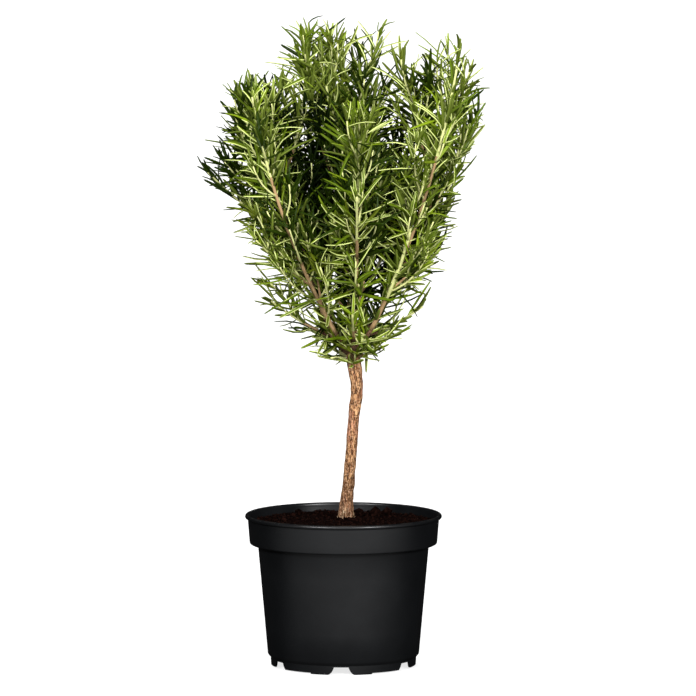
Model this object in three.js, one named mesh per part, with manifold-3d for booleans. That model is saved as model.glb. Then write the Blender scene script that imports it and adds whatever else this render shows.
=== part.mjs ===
// A rosemary standard in a round nursery pot: one bare trunk, a head of boughs and leafy shoots that
// spread from its fork like an open fan, and the pot of compost that it grows in.
// Millimetres, +Z up, X to the right and Y away from the viewer. The origin is on the pot's axis, in the
// plane that its feet stand on.

import * as THREE from "three";
import { mergeVertices } from "three/addons/utils/BufferGeometryUtils.js";
import Module from "manifold-3d";

const wasm = await Module();
wasm.setup();

const DEG = Math.PI / 180;
const GOLDEN_TURN = 137.5;
const CLEAR = 0.3; // between two pieces that touch
const BEYOND = 1; // how far a cutter passes the face that it cuts
const MERGE = 1e-4; // vertices nearer than this are one

// The pot: a tapering body under a wider collar with a rolled lip, on a foot ring with arched gaps.
const POT = {
  height: 147,
  lipRadius: 95,
  lipRoll: 2.1,
  collarTopRadius: 92.4,
  collarFootRadius: 90.6,
  collarFoot: 118.5,
  collarRound: 1.7,
  bodyTopRadius: 82.6,
  bodyFootRadius: 73.1,
  bodyFoot: 11.7,
  footTopRadius: 70.4,
  footRadius: 69.9,
  footTop: 9.3,
  footWall: 2,
  wall: 1.5,
  floorUnder: 9,
  floorTop: 11,
  turns: 40,
};
const GAP = { count: 6, bearing: 268.3, top: 7.5, halfTop: 7, halfFoot: 13, flare: 2, depth: 16, steps: 4 };
const DRAIN = { radius: 5.5, at: 58, sides: 12 };
// Two pads flank every second gap, and further than this angle from it the foot ring stands clear.
const PAD = { from: 25, rise: 1.3, inner: 64, steps: 12 };

// The compost: a plug that fills the pot, level at the wall, mounded to the trunk and lumpy between.
const SOIL = { edge: 138.3, centre: 142, flatRadius: 13, lump: 1.5, turns: 24, rings: 5, seed: 11 };
const SUNK = 4; // how far the trunk's first point lies below the cut that it stands on

// The trunk: where its middle runs and how thick it is there, from the cut at the compost to the fork.
const TRUNK = {
  name: "trunk",
  middle: [
    [2.1, 0, SOIL.centre - SUNK],
    [2.5, 0, 149],
    [3.4, 0, 162],
    [5.3, -0.6, 182],
    [8.2, -1, 216],
    [10.6, -0.6, 246],
    [12.7, 0, 266],
    [11.8, 0, 281],
    [9.8, 0, 297],
    [8.4, 0, 312],
  ],
  radii: [8, 6.4, 5.5, 5, 4.6, 4.7, 5.4, 5.6, 5.7, 5],
  sides: 10,
  steps: 12,
  cutSize: 60,
};

// Each bough grows from another limb, `at` its share of that limb's length, towards a bearing, which
// turns from +X to +Y. It leans away from upright, first and last, by the two angles of `lean`.
const BOUGHS = [
  { name: "bough_centre", from: "trunk", bearing: 190, lean: [2, 6], length: 22, radii: [3.4, 2.8] },
  { name: "bough_left", from: "trunk", at: 0.94, bearing: 181, lean: [66, 22], length: 44, radii: [3, 2.5] },
  { name: "bough_right", from: "trunk", at: 0.96, bearing: 358, lean: [46, 28], length: 38, radii: [3, 2.5] },
  { name: "bough_front", from: "trunk", at: 0.92, bearing: 272, lean: [64, 24], length: 38, radii: [3, 2] },
  { name: "bough_back", from: "trunk", at: 0.9, bearing: 88, lean: [66, 24], length: 42, radii: [3, 2] },
  { name: "bough_front_left", from: "bough_front", at: 0.26, bearing: 216, lean: [60, 36], length: 30 },
  { name: "bough_front_right", from: "bough_front", at: 0.42, bearing: 322, lean: [60, 36], length: 30 },
  { name: "bough_back_left", from: "bough_back", at: 0.42, bearing: 142, lean: [62, 36], length: 32 },
  { name: "bough_back_right", from: "bough_back", at: 0.24, bearing: 40, lean: [60, 36], length: 32 },
  { name: "bough_left_low", from: "bough_left", at: 0.62, bearing: 192, lean: [72, 66], length: 12 },
  { name: "bough_right_low", from: "bough_right", at: 0.5, bearing: 2, lean: [74, 68], length: 12 },
  { name: "bough_front_low", from: "bough_front", at: 0.7, bearing: 268, lean: [72, 66], length: 11 },
  { name: "bough_back_low", from: "bough_back", at: 0.66, bearing: 92, lean: [72, 66], length: 12 },
];
const BOUGH = { haste: 1.5, radii: [1.9, 1.6], sides: 5, mainSides: 7, stepLength: 15 };
const SAMPLES = 4; // places on a limb for each of its steps, from which distances to it are taken

// Each mass of shoots grows on from the tip of its bough, or from the trunk. A leader is told by its
// bearing, first and last lean and length, and by the share of the first one's length where it forks.
const MASSES = [
  {
    name: "shoots_centre",
    from: "bough_centre",
    leaders: [
      [180, 4, 4, 274],
      [205, 44, 6, 138, 0.02],
      [345, 42, 8, 126, 0.05],
      [88, 34, 4, 160, 0.12],
      [14, 28, 2, 150, 0.38],
      [172, 26, -2, 156, 0.44],
    ],
  },
  {
    name: "shoots_left",
    from: "bough_left",
    leaders: [
      [184, 16, 25, 242],
      [182, 56, 46, 117, 0.3],
      [142, 30, 0, 150, 0.36],
      [222, 40, 8, 104, 0.5],
      [10, 24, 2, 108, 0.56],
      [188, 44, 12, 104, 0.44],
    ],
  },
  {
    name: "shoots_right",
    from: "bough_right",
    leaders: [
      [2, 28, 6, 274],
      [26, 54, 30, 96, 0.2],
      [332, 48, 8, 112, 0.38],
      [8, 48, 50, 55, 0.67],
      [176, 24, 0, 118, 0.54],
    ],
  },
  {
    name: "shoots_front",
    from: "bough_front",
    leaders: [
      [262, 28, 6, 220],
      [296, 20, 2, 176, 0.08],
      [276, 54, 34, 90, 0.36],
    ],
  },
  {
    name: "shoots_back",
    from: "bough_back",
    leaders: [
      [98, 28, 6, 226],
      [66, 20, 2, 182, 0.08],
      [84, 50, 30, 72, 0.34],
    ],
  },
  {
    name: "shoots_front_left",
    from: "bough_front_left",
    leaders: [
      [218, 36, 14, 200],
      [252, 14, 0, 160, 0.12],
      [200, 58, 44, 72, 0.22],
    ],
  },
  {
    name: "shoots_front_right",
    from: "bough_front_right",
    leaders: [
      [322, 36, 14, 186],
      [294, 14, 0, 150, 0.16],
      [338, 58, 44, 66, 0.22],
    ],
  },
  {
    name: "shoots_back_left",
    from: "bough_back_left",
    leaders: [
      [142, 36, 14, 200],
      [108, 14, 0, 170, 0.12],
      [162, 58, 44, 70, 0.22],
    ],
  },
  {
    name: "shoots_back_right",
    from: "bough_back_right",
    leaders: [
      [38, 36, 14, 196],
      [68, 14, 0, 166, 0.16],
      [18, 58, 44, 66, 0.22],
    ],
  },
  { name: "shoots_left_low", from: "bough_left_low", leaders: [[192, 66, 50, 58]] },
  { name: "shoots_right_low", from: "bough_right_low", leaders: [[0, 68, 54, 50]] },
  { name: "shoots_front_low", from: "bough_front_low", leaders: [[268, 66, 52, 52]] },
  { name: "shoots_back_low", from: "bough_back_low", leaders: [[92, 66, 52, 54]] },
  { name: "shoots_fork_left", from: "trunk", at: 0.89, leaders: [[226, 58, 96, 34]] },
  { name: "shoots_fork_right", from: "trunk", at: 0.91, leaders: [[316, 56, 96, 30]] },
];

// A shoot is a slim three-sided core, the bases of its needle leaves round its stem, and each cell of
// the core's surface is drawn out into one needle. Short shoots, the twigs, leave a leader to run beside
// it. The needles are a little larger and fewer than the plant's own.
const SHOOT = { root: 1.4, core: 2.7, tip: 0.9, sides: 3, twist: 40, swell: 0.12, bends: 6, leastRings: 3 };
const TWIG = { spacing: 34, first: 0.03, last: 0.8, open: [52, 8], length: [36, 72], core: 2.2 };
const TWIG_PLACE = [0.3, 0.7]; // where in its own stretch of the leader a twig may leave
const TWIG_ROOT = 3; // samples of a twig that may still lie at its leader
const LEAF = { length: 38, pitch: 8, open: [62, 24], tipShare: 0.72, uneven: 0.2, wander: 12 };
const LEAF_FITS = [1, 0.78, 0.56]; // the shares of its length that a needle tries in turn
const LEAF_TESTS = [0.4, 0.7, 1]; // where along a needle its room is looked at
const FIRST_SEED = 101;

// How far the needles reach from the pot's axis at some heights, to the left and to the right.
const OUTLINE = [
  [292, 12, 26],
  [314, 48, 44],
  [352, 84, 76],
  [400, 98, 102],
  [450, 110, 104],
  [488, 139, 116],
  [530, 114, 130],
  [562, 108, 138],
  [585, 74, 120],
  [612, 66, 104],
  [627, 40, 40],
];
const SPARE = 0.8; // what a leaf or twig keeps from a limb, and from the space of the next mass

const finish = (color, roughness) => new THREE.MeshStandardMaterial({ color, roughness, metalness: 0 });
const FINISHES = {
  pot: finish(0x26282a, 0.45),
  compost: finish(0x2a1a12, 1),
  trunkBark: finish(0xa5754d, 0.85),
  boughBark: finish(0x7d5a3c, 0.85),
  leaf: finish(0x5f7d28, 0.55),
};

// Solids

// A geometry with its shared vertices merged, and nothing kept but their positions.
function joined(geometry) {
  const bare = geometry.clone();
  bare.deleteAttribute("normal");
  bare.deleteAttribute("uv");
  return mergeVertices(bare, MERGE);
}

function solidOf(geometry) {
  const { attributes, index } = joined(geometry);
  return new wasm.Manifold(
    new wasm.Mesh({
      numProp: 3,
      vertProperties: attributes.position.array,
      triVerts: new Uint32Array(index.array),
    }),
  );
}

// The union of some solids as one body: a hollow that it seals is filled, and a loose scrap is dropped.
function fuse(solids) {
  const bodies = wasm.Manifold.union(solids).decompose();
  return bodies.reduce((most, body) => (body.volume() > most.volume() ? body : most));
}

function pieceOf(name, solid, material) {
  const { vertProperties, triVerts } = solid.getMesh();
  const geometry = new THREE.BufferGeometry();
  geometry.setAttribute("position", new THREE.BufferAttribute(vertProperties, 3));
  geometry.setIndex(new THREE.BufferAttribute(triVerts, 1));
  geometry.computeVertexNormals();
  const mesh = new THREE.Mesh(geometry, material);
  mesh.name = name;
  return mesh;
}

// A lathe turns its profile of radii and heights about +Z.
function turned(profile, turns) {
  const points = profile.map(([radius, height]) => new THREE.Vector2(radius, height));
  return new THREE.LatheGeometry(points, turns).rotateX(Math.PI / 2);
}

// Seeded numbers from 0 to 1.
function seeded(seed) {
  let state = seed >>> 0;
  return () => {
    state = (Math.imul(state, 1664525) + 1013904223) >>> 0;
    return state / 2 ** 32;
  };
}

const between = ([low, high], share) => low + (high - low) * share;

// Pot and compost

function lipProfile() {
  const { lipRadius, lipRoll, height } = POT;
  return [-60, 0, 60, 120, 180].map((turn) => [
    lipRadius - lipRoll + lipRoll * Math.cos(turn * DEG),
    height - lipRoll + lipRoll * Math.sin(turn * DEG),
  ]);
}

// The inside of the wall, from the floor to where it meets the lip.
function innerWall() {
  const { wall } = POT;
  return [
    [POT.bodyFootRadius - wall, POT.floorTop],
    [POT.bodyTopRadius - wall, POT.collarFoot + wall],
    [POT.collarFootRadius - wall, POT.collarFoot + wall],
    [POT.collarTopRadius - wall, POT.height - 2 * POT.lipRoll],
  ];
}

function potProfile() {
  return [
    [0, POT.floorUnder],
    [POT.footTopRadius - POT.footWall, POT.floorUnder],
    [POT.footRadius - POT.footWall, 0],
    [POT.footRadius, 0],
    [POT.footTopRadius, POT.footTop],
    [POT.bodyFootRadius, POT.bodyFoot],
    [POT.bodyTopRadius, POT.collarFoot],
    [POT.collarFootRadius - POT.collarRound, POT.collarFoot],
    [POT.collarFootRadius, POT.collarFoot + POT.collarRound],
    [POT.collarTopRadius, POT.height - 2 * POT.lipRoll],
    ...lipProfile(),
    ...innerWall().reverse(),
    [0, POT.floorTop],
  ];
}

function extruded(shape, depth, curveSegments) {
  return new THREE.ExtrudeGeometry(shape, { depth, bevelEnabled: false, curveSegments });
}

// An arched gap through the foot ring, flared at the ground, at a bearing round the pot.
function footGap(bearing) {
  const { halfTop, halfFoot, flare, top, depth } = GAP;
  const arch = new THREE.Shape();
  arch.moveTo(-halfFoot, -BEYOND);
  arch.lineTo(-halfFoot, 0);
  arch.quadraticCurveTo(-halfTop - flare, flare / 2, -halfTop, top);
  arch.lineTo(halfTop, top);
  arch.quadraticCurveTo(halfTop + flare, flare / 2, halfFoot, 0);
  arch.lineTo(halfFoot, -BEYOND);
  return extruded(arch, depth, GAP.steps)
    .rotateX(Math.PI / 2)
    .rotateZ(Math.PI / 2)
    .translate(POT.footRadius - depth / 2, 0, 0)
    .rotateZ(bearing * DEG);
}

// A round drain hole through the floor, behind a gap.
function drain(bearing) {
  const height = POT.floorTop - POT.floorUnder + 2 * BEYOND;
  return new THREE.CylinderGeometry(DRAIN.radius, DRAIN.radius, height, DRAIN.sides)
    .rotateX(Math.PI / 2)
    .translate(DRAIN.at, 0, (POT.floorUnder + POT.floorTop) / 2)
    .rotateZ(bearing * DEG);
}

// What is cut off under the foot ring between two pairs of pads, round a bearing.
function padRelief(bearing) {
  const half = (360 / GAP.count - PAD.from) * DEG;
  const sector = new THREE.Shape();
  sector.absarc(0, 0, POT.lipRadius, -half, half, false);
  sector.absarc(0, 0, PAD.inner, half, -half, true);
  return extruded(sector, BEYOND + PAD.rise, PAD.steps)
    .translate(0, 0, -BEYOND)
    .rotateZ(bearing * DEG);
}

function potSolid() {
  const cutters = [];
  for (let i = 0; i < GAP.count; i++) {
    const bearing = GAP.bearing + (360 / GAP.count) * i;
    cutters.push(footGap(bearing), drain(bearing));
    if (i % 2 === 1) cutters.push(padRelief(bearing));
  }
  const body = solidOf(turned(potProfile(), POT.turns));
  return cutters.reduce((pot, cutter) => pot.subtract(solidOf(cutter)), body);
}

function soilSolid() {
  const wall = innerWall();
  const [[footRadius, foot], [topRadius, top]] = wall.slice(-2);
  const edge = between([footRadius, topRadius], (SOIL.edge - foot) / (top - foot)) - CLEAR;
  const side = wall.slice(0, -1).map(([radius, height]) => [radius - CLEAR, height + CLEAR]);
  const profile = [[0, POT.floorTop + CLEAR], ...side];
  for (let i = 0; i <= SOIL.rings; i++) {
    const out = 1 - i / SOIL.rings;
    profile.push([between([SOIL.flatRadius, edge], out), between([SOIL.centre, SOIL.edge], out)]);
  }
  profile.push([0, SOIL.centre]);
  const shape = joined(turned(profile, SOIL.turns));
  const random = seeded(SOIL.seed);
  const position = shape.attributes.position;
  for (let i = 0; i < position.count; i++) {
    const out = Math.hypot(position.getX(i), position.getY(i));
    if (position.getZ(i) > SOIL.edge && out > SOIL.flatRadius + CLEAR)
      position.setZ(i, position.getZ(i) + SOIL.lump * random());
  }
  return solidOf(shape);
}

// Limbs

// The direction that leans away from upright by an angle, towards a bearing.
function heading(bearing, lean) {
  return new THREE.Vector3(0, 0, 1)
    .applyAxisAngle(new THREE.Vector3(0, 1, 0), lean * DEG)
    .applyAxisAngle(new THREE.Vector3(0, 0, 1), bearing * DEG);
}

// The curve of a growth that starts one way and ends another. Haste over 1 bends it mostly early.
function growth(start, first, last, length, haste, steps) {
  const points = [start.clone()];
  for (let i = 0; i < steps; i++) {
    const turn = 1 - (1 - (i + 0.5) / steps) ** haste;
    const way = first.clone().lerp(last, turn).normalize();
    points.push(points.at(-1).clone().addScaledVector(way, length / steps));
  }
  return new THREE.CatmullRomCurve3(points);
}

// A closed bar along a curve, its radius a function of the share of the way along, twisted at each step.
function bar(curve, radiusAt, sides, steps, twist = 0) {
  const shape = new THREE.CylinderGeometry(1, 1, 1, sides, steps);
  const frames = curve.computeFrenetFrames(steps, false);
  const position = shape.attributes.position;
  for (let i = 0; i < position.count; i++) {
    const step = Math.round((position.getY(i) + 0.5) * steps);
    const corner = new THREE.Vector2(position.getX(i), position.getZ(i))
      .rotateAround(new THREE.Vector2(), step * twist * DEG)
      .multiplyScalar(radiusAt(step / steps));
    const place = curve
      .getPointAt(step / steps)
      .addScaledVector(frames.binormals[step], corner.x)
      .addScaledVector(frames.normals[step], corner.y);
    position.setXYZ(i, place.x, place.y, place.z);
  }
  return shape;
}

// A limb: its curve, its radius along it, and its solid, which `grown` makes thicker all over.
function limb(name, curve, radiusAt, sides, steps) {
  const solid = (grown = 0) => solidOf(bar(curve, (share) => radiusAt(share) + grown, sides, steps));
  const samples = curve.getSpacedPoints(SAMPLES * steps);
  return { name, curve, radiusAt, solid, samples };
}

function trunkLimb() {
  const { name, middle, radii, sides, steps, cutSize } = TRUNK;
  const curve = new THREE.CatmullRomCurve3(middle.map((point) => new THREE.Vector3(...point)));
  const lengths = curve.getLengths(middle.length - 1);
  const radiusAt = (share) => {
    const along = share * lengths.at(-1);
    const i = lengths.findIndex((length) => length > along);
    if (i < 0) return radii.at(-1);
    return between([radii[i - 1], radii[i]], (along - lengths[i - 1]) / (lengths[i] - lengths[i - 1]));
  };
  const whole = limb(name, curve, radiusAt, sides, steps);
  const below = new THREE.BoxGeometry(cutSize, cutSize, cutSize);
  const ground = solidOf(below.translate(0, 0, SOIL.centre + CLEAR - cutSize / 2));
  return { ...whole, solid: (grown = 0) => whole.solid(grown).subtract(ground) };
}

// Where a growth starts on the limb that bears it: in its middle, or just off its tip.
function seat(parent, at = 1) {
  const point = parent.curve.getPointAt(at);
  return at < 1 ? point : point.addScaledVector(parent.curve.getTangentAt(1), CLEAR);
}

function boughLimb(spec, parent) {
  const { name, at, bearing, lean, length, radii = BOUGH.radii } = spec;
  const steps = Math.max(2, Math.round(length / BOUGH.stepLength));
  const [first, last] = lean.map((angle) => heading(bearing, angle));
  const curve = growth(seat(parent, at), first, last, length, BOUGH.haste, 3 * steps);
  const sides = spec.radii ? BOUGH.mainSides : BOUGH.sides;
  return limb(name, curve, (share) => between(radii, share), sides, steps);
}

// Shoots

// A shoot swells from its root to its core and tapers to its tip.
function shootRadius(core) {
  return (share) => {
    if (share < SHOOT.swell) return between([SHOOT.root, core], share / SHOOT.swell);
    return between([core, SHOOT.tip], (share - SHOOT.swell) / (1 - SHOOT.swell));
  };
}

function shoot(start, first, last, length, core) {
  const rings = Math.max(SHOOT.leastRings, Math.round(length / LEAF.pitch));
  const curve = growth(start, first, last, length, 1, SHOOT.bends);
  return { ...limb("", curve, shootRadius(core), SHOOT.sides, rings), rings, length };
}

// The leaders of a mass, which are also what its space is measured from.
function leadersOf(mass, limbs) {
  const leader = ([bearing, first, last, length], start) =>
    shoot(start, heading(bearing, first), heading(bearing, last), length, SHOOT.core);
  const [mainRow, ...forks] = mass.leaders;
  const main = leader(mainRow, seat(limbs.get(mass.from), mass.at));
  return [main, ...forks.map((row) => leader(row, main.curve.getPointAt(row.at(-1))))];
}

function nearest(point, samples) {
  return Math.sqrt(Math.min(...samples.map((place) => place.distanceToSquared(point))));
}

// Whether a point lies in the outline of the head.
function isInside(point) {
  const row = OUTLINE.findIndex(([height]) => height > point.z);
  if (row < 1) return false;
  const [under, over] = [OUTLINE[row - 1], OUTLINE[row]];
  const up = (point.z - under[0]) / (over[0] - under[0]);
  const [left, right] = [1, 2].map((side) => between([under[side], over[side]], up));
  const out = Math.hypot(point.x, point.y);
  return out < between([left, right], 0.5 + point.x / out / 2);
}

// The distance of a point from the nearest of some shoots.
const toNearest = (point, shoots) => Math.min(...shoots.map((one) => nearest(point, one.samples)));

// Whether a round thing about a point lies in the outline, clear of every limb, and in its mass's own
// space, nearer to the leaders of the mass than to any other's. At the tip of its bough it may touch.
function isFree(point, radius, mass, strangers, limbs) {
  if (!isInside(point)) return false;
  if (toNearest(point, strangers) - toNearest(point, mass.leaders) < 2 * (radius + SPARE)) return false;
  for (const wood of limbs.values()) {
    if (wood === mass.parent && point.distanceTo(wood.samples.at(-1)) < 3 * radius) continue;
    if (nearest(point, wood.samples) < wood.radiusAt(0) + radius + 2 * SPARE) return false;
  }
  return true;
}

// A direction that opens from a way by an angle, turned about it.
function opened(way, open, turn) {
  const side = new THREE.Vector3(0, 0, 1).cross(way);
  if (side.lengthSq() < MERGE) side.set(1, 0, 0);
  side.normalize().applyAxisAngle(way, turn * DEG);
  return way.clone().multiplyScalar(Math.cos(open * DEG)).addScaledVector(side, Math.sin(open * DEG));
}

function twigsOf(leader, random, free) {
  const count = Math.round(leader.length / TWIG.spacing);
  const twigs = [];
  for (let i = 0; i < count; i++) {
    const at = between([TWIG.first, TWIG.last], (i + between(TWIG_PLACE, random())) / count);
    const turn = GOLDEN_TURN * i + 360 * random();
    const way = leader.curve.getTangentAt(at);
    const [first, last] = TWIG.open.map((open) => opened(way, open, turn));
    const length = between(TWIG.length, random());
    const twig = shoot(leader.curve.getPointAt(at), first, last, length, TWIG.core);
    if (twig.samples.slice(TWIG_ROOT).every((point) => free(point, TWIG.core))) twigs.push(twig);
  }
  return twigs;
}

// The way and the length of the needle that stands at a root on a shoot, at a share of its length.
function needleOf(curve, share, root, random) {
  const along = curve.getTangentAt(share);
  const out = root.clone().sub(curve.getPointAt(share));
  out.addScaledVector(along, -out.dot(along)).normalize();
  const open = (between(LEAF.open, share ** 2) + LEAF.wander * (random() - 0.5)) * DEG;
  const length = LEAF.length * between([1, LEAF.tipShare], share ** 3) * (1 - LEAF.uneven * random());
  return along.multiplyScalar(Math.cos(open)).addScaledVector(out, Math.sin(open)).multiplyScalar(length);
}

// The solid of a shoot: its core, a twisted bar, of which each cell that has room is drawn into a needle.
// The core's index holds six corners for each cell, row by row from the tip, and then its two ends.
function leafySolid({ curve, radiusAt, rings }, random, isRoom) {
  const core = joined(bar(curve, radiusAt, SHOOT.sides, rings, SHOOT.twist));
  const places = [...core.attributes.position.array];
  const corner = (i) => new THREE.Vector3().fromArray(places, 3 * i);
  const faces = [...core.index.array];
  const cells = SHOOT.sides * rings;
  const drawn = faces.slice(6 * cells);
  for (let cell = 0; cell < cells; cell++) {
    const corners = faces.slice(6 * cell, 6 * cell + 6);
    const [a, b, d, , c] = corners;
    const share = 1 - ((cell % rings) + 0.5) / rings;
    const root = corner(a).add(corner(b)).add(corner(c)).add(corner(d)).divideScalar(4);
    const needle = needleOf(curve, share, root, random);
    const reach = (part) => root.clone().addScaledVector(needle, part);
    const fit = LEAF_FITS.find((whole) => LEAF_TESTS.every((part) => isRoom(reach(part * whole))));
    if (fit) {
      const tip = places.length / 3;
      places.push(...reach(fit).toArray());
      drawn.push(a, b, tip, b, c, tip, c, d, tip, d, a, tip);
    } else drawn.push(...corners);
  }
  const shape = new THREE.BufferGeometry();
  shape.setAttribute("position", new THREE.Float32BufferAttribute(places, 3));
  shape.setIndex(drawn);
  return solidOf(shape);
}

function massSolid(mass, masses, limbs, seed) {
  const random = seeded(seed);
  const strangers = masses.flatMap((other) => (other === mass ? [] : other.leaders));
  const free = (point, radius) => isFree(point, radius, mass, strangers, limbs);
  const shoots = mass.leaders.flatMap((leader) => [leader, ...twigsOf(leader, random, free)]);
  const solids = shoots.map((one) => {
    const siblings = shoots.filter((shoot) => shoot !== one);
    const isOwn = (point) => toNearest(point, siblings) > nearest(point, one.samples);
    return leafySolid(one, random, (point) => isOwn(point) && free(point, 0));
  });
  const whole = fuse(solids);
  return mass.at === undefined ? whole : fuse([whole.subtract(mass.parent.solid(CLEAR))]);
}

// The plant in its pot

function plant() {
  const group = new THREE.Group();
  group.add(pieceOf("pot", potSolid(), FINISHES.pot));
  group.add(pieceOf("compost", soilSolid(), FINISHES.compost));

  const limbs = new Map([[TRUNK.name, trunkLimb()]]);
  group.add(pieceOf(TRUNK.name, limbs.get(TRUNK.name).solid(), FINISHES.trunkBark));
  const grown = [limbs.get(TRUNK.name).solid(CLEAR)];
  for (const spec of BOUGHS) {
    const parent = limbs.get(spec.from);
    const bough = boughLimb(spec, parent);
    limbs.set(spec.name, bough);
    const solid = grown.reduce((rest, limb) => rest.subtract(limb), bough.solid());
    grown.push(bough.solid(CLEAR));
    group.add(pieceOf(spec.name, fuse([solid]), FINISHES.boughBark));
  }

  const masses = MASSES.map((spec) => ({
    ...spec,
    parent: limbs.get(spec.from),
    leaders: leadersOf(spec, limbs),
  }));
  masses.forEach((mass, i) => {
    group.add(pieceOf(mass.name, massSolid(mass, masses, limbs, FIRST_SEED + i), FINISHES.leaf));
  });
  return group;
}

export default plant();
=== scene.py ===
"""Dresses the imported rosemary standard: needles, stems, bark, compost and pot, each in its own finish.

Sizes are millimetres in the fields of each class and become metres where a mesh is made. X points to
the right, Y away from the camera and Z up, from the plane that the pot stands on.
"""

import logging
import math
from contextlib import contextmanager
from dataclasses import dataclass, field
from enum import IntEnum
from itertools import pairwise
from typing import Any, Callable, Iterator, Sequence

import bpy
import numpy as np
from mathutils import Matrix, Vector
from mathutils.kdtree import KDTree


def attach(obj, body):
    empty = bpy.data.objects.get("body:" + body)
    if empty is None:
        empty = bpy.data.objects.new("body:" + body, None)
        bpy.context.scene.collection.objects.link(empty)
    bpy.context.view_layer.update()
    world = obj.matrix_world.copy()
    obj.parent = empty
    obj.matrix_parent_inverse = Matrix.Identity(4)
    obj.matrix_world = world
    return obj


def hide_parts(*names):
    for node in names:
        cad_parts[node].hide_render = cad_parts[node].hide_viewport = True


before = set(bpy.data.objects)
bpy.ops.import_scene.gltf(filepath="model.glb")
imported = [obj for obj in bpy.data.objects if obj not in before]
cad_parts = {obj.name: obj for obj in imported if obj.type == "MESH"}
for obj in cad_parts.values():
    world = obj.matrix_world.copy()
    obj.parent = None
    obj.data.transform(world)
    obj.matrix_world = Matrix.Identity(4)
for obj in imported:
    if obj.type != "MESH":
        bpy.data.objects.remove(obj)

log = logging.getLogger("rosemary")

MM = 0.001
BODY = "root"
TURN = 2 * math.pi
GOLDEN_TURN = math.radians(137.5)
LOOK_DOWN = 0.1025
UP = np.array([0.0, 0.0, 1.0])

Colour = tuple[float, float, float]
Point = tuple[float, float, float]
Pair = tuple[float, float]
Array = np.ndarray
Dice = np.random.Generator
Material = bpy.types.Material
Piece = bpy.types.Object
Socket = bpy.types.NodeSocket


# Working by hand


def configured(thing: Any, **settings: Any) -> Any:
    """Sets some of a thing's properties, and returns it."""
    for name, value in settings.items():
        setattr(thing, name, value)
    return thing


def deselect_all() -> None:
    """Leaves nothing selected, because an operator acts on all that is."""
    for piece in bpy.context.selected_objects:
        piece.select_set(False)


def make_active(piece: Piece) -> None:
    """Selects one piece alone and makes it the one that operators act on."""
    deselect_all()
    piece.select_set(True)
    bpy.context.view_layer.objects.active = piece


def add_primitive(name: str, operator: Callable, **settings: Any) -> Piece:
    """Adds a mesh primitive by its operator, and names the object and its mesh."""
    deselect_all()
    operator(**settings)
    piece = bpy.context.object
    piece.name = piece.data.name = name
    return piece


@contextmanager
def editing(piece: Piece, kind: str = "VERT", everything: bool = False) -> Iterator[None]:
    """Edit mode on one piece, for the length of a with block.

    Args:
        piece: the mesh object to edit.
        kind: what is selected by, VERT, EDGE or FACE.
        everything: whether all of it is selected at the start, or nothing.
    """
    make_active(piece)
    bpy.ops.object.mode_set(mode="EDIT")
    bpy.ops.mesh.select_mode(type=kind)
    bpy.ops.mesh.select_all(action="SELECT" if everything else "DESELECT")
    yield
    bpy.ops.object.mode_set(mode="OBJECT")


def pick(parts: Sequence, is_picked: Callable[[Any], bool]) -> None:
    """Selects some of the vertices or edges of the mesh that is edited, by a test of each."""
    bpy.ops.object.mode_set(mode="OBJECT")
    for part in parts:
        part.select = is_picked(part)
    bpy.ops.object.mode_set(mode="EDIT")


def apply_modifier(piece: Piece, kind: str, **settings: Any) -> None:
    """Adds a modifier to a piece and applies it.

    Args:
        piece: the object that takes it.
        kind: the modifier's type.
        settings: its properties.
    """
    make_active(piece)
    modifier = configured(piece.modifiers.new(kind.lower(), kind), **settings)
    bpy.ops.object.modifier_apply(modifier=modifier.name)


def settle(piece: Piece) -> None:
    """Puts a piece's place, turn and size into its mesh, and leaves its object at the origin."""
    make_active(piece)
    bpy.ops.object.transform_apply(location=True, rotation=True, scale=True)


def join(pieces: Sequence[Piece]) -> Piece:
    """Joins some objects into the first of them, and returns it."""
    make_active(pieces[0])
    for piece in pieces:
        piece.select_set(True)
    bpy.ops.object.join()
    return pieces[0]


def face_outwards(piece: Piece) -> None:
    """Turns every face of a closed mesh outwards."""
    with editing(piece, "FACE", everything=True):
        bpy.ops.mesh.normals_make_consistent(inside=False)


def shade_by_angle(piece: Piece, angle: float) -> None:
    """Shades a piece smooth but for its edges sharper than an angle in degrees."""
    make_active(piece)
    bpy.ops.object.shade_smooth_by_angle(angle=math.radians(angle))


def extrude_ring(start: Pair, end: Pair) -> None:
    """Extrudes the selected ring of edges about Z, from one radius and height to another."""
    bpy.ops.mesh.extrude_region_move()
    bpy.ops.transform.translate(value=(0, 0, (end[1] - start[1]) * MM))
    ratio = end[0] / start[0]
    bpy.ops.transform.resize(value=(ratio, ratio, 1), center_override=(0, 0, end[1] * MM))


def turn_profile(name: str, profile: Sequence[Pair], sides: int) -> Piece:
    """Raises a closed turned shape from a filled disc, ring by ring.

    Args:
        name: the new object's name.
        profile: radii and heights, from the rim of the underside's disc to the last ring, which closes
            to a point in its own plane.
        sides: how many sides a ring has.

    Returns:
        The object, with its faces outwards.
    """
    radius, height = profile[0]
    disc = {"vertices": sides, "radius": radius * MM, "fill_type": "TRIFAN"}
    piece = add_primitive(name, bpy.ops.mesh.primitive_circle_add, **disc)
    with editing(piece, "EDGE", everything=True):
        bpy.ops.transform.translate(value=(0, 0, height * MM))
        bpy.ops.mesh.select_all(action="DESELECT")
        only_rim = {"use_wire": False, "use_multi_face": False, "use_verts": False}
        bpy.ops.mesh.select_non_manifold(extend=False, **only_rim)
        for start, end in pairwise(profile):
            extrude_ring(start, end)
        bpy.ops.mesh.extrude_region_move()
        bpy.ops.mesh.merge(type="CENTER")
    face_outwards(piece)
    return piece


def arc(centre: Pair, radius: float, turns: Pair, steps: int) -> list:
    """The points of an arc in a profile, from one angle to another, in degrees from outwards to up."""
    angles = np.radians(np.linspace(*turns, steps + 1))
    return [(centre[0] + radius * math.cos(a), centre[1] + radius * math.sin(a)) for a in angles]


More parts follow.
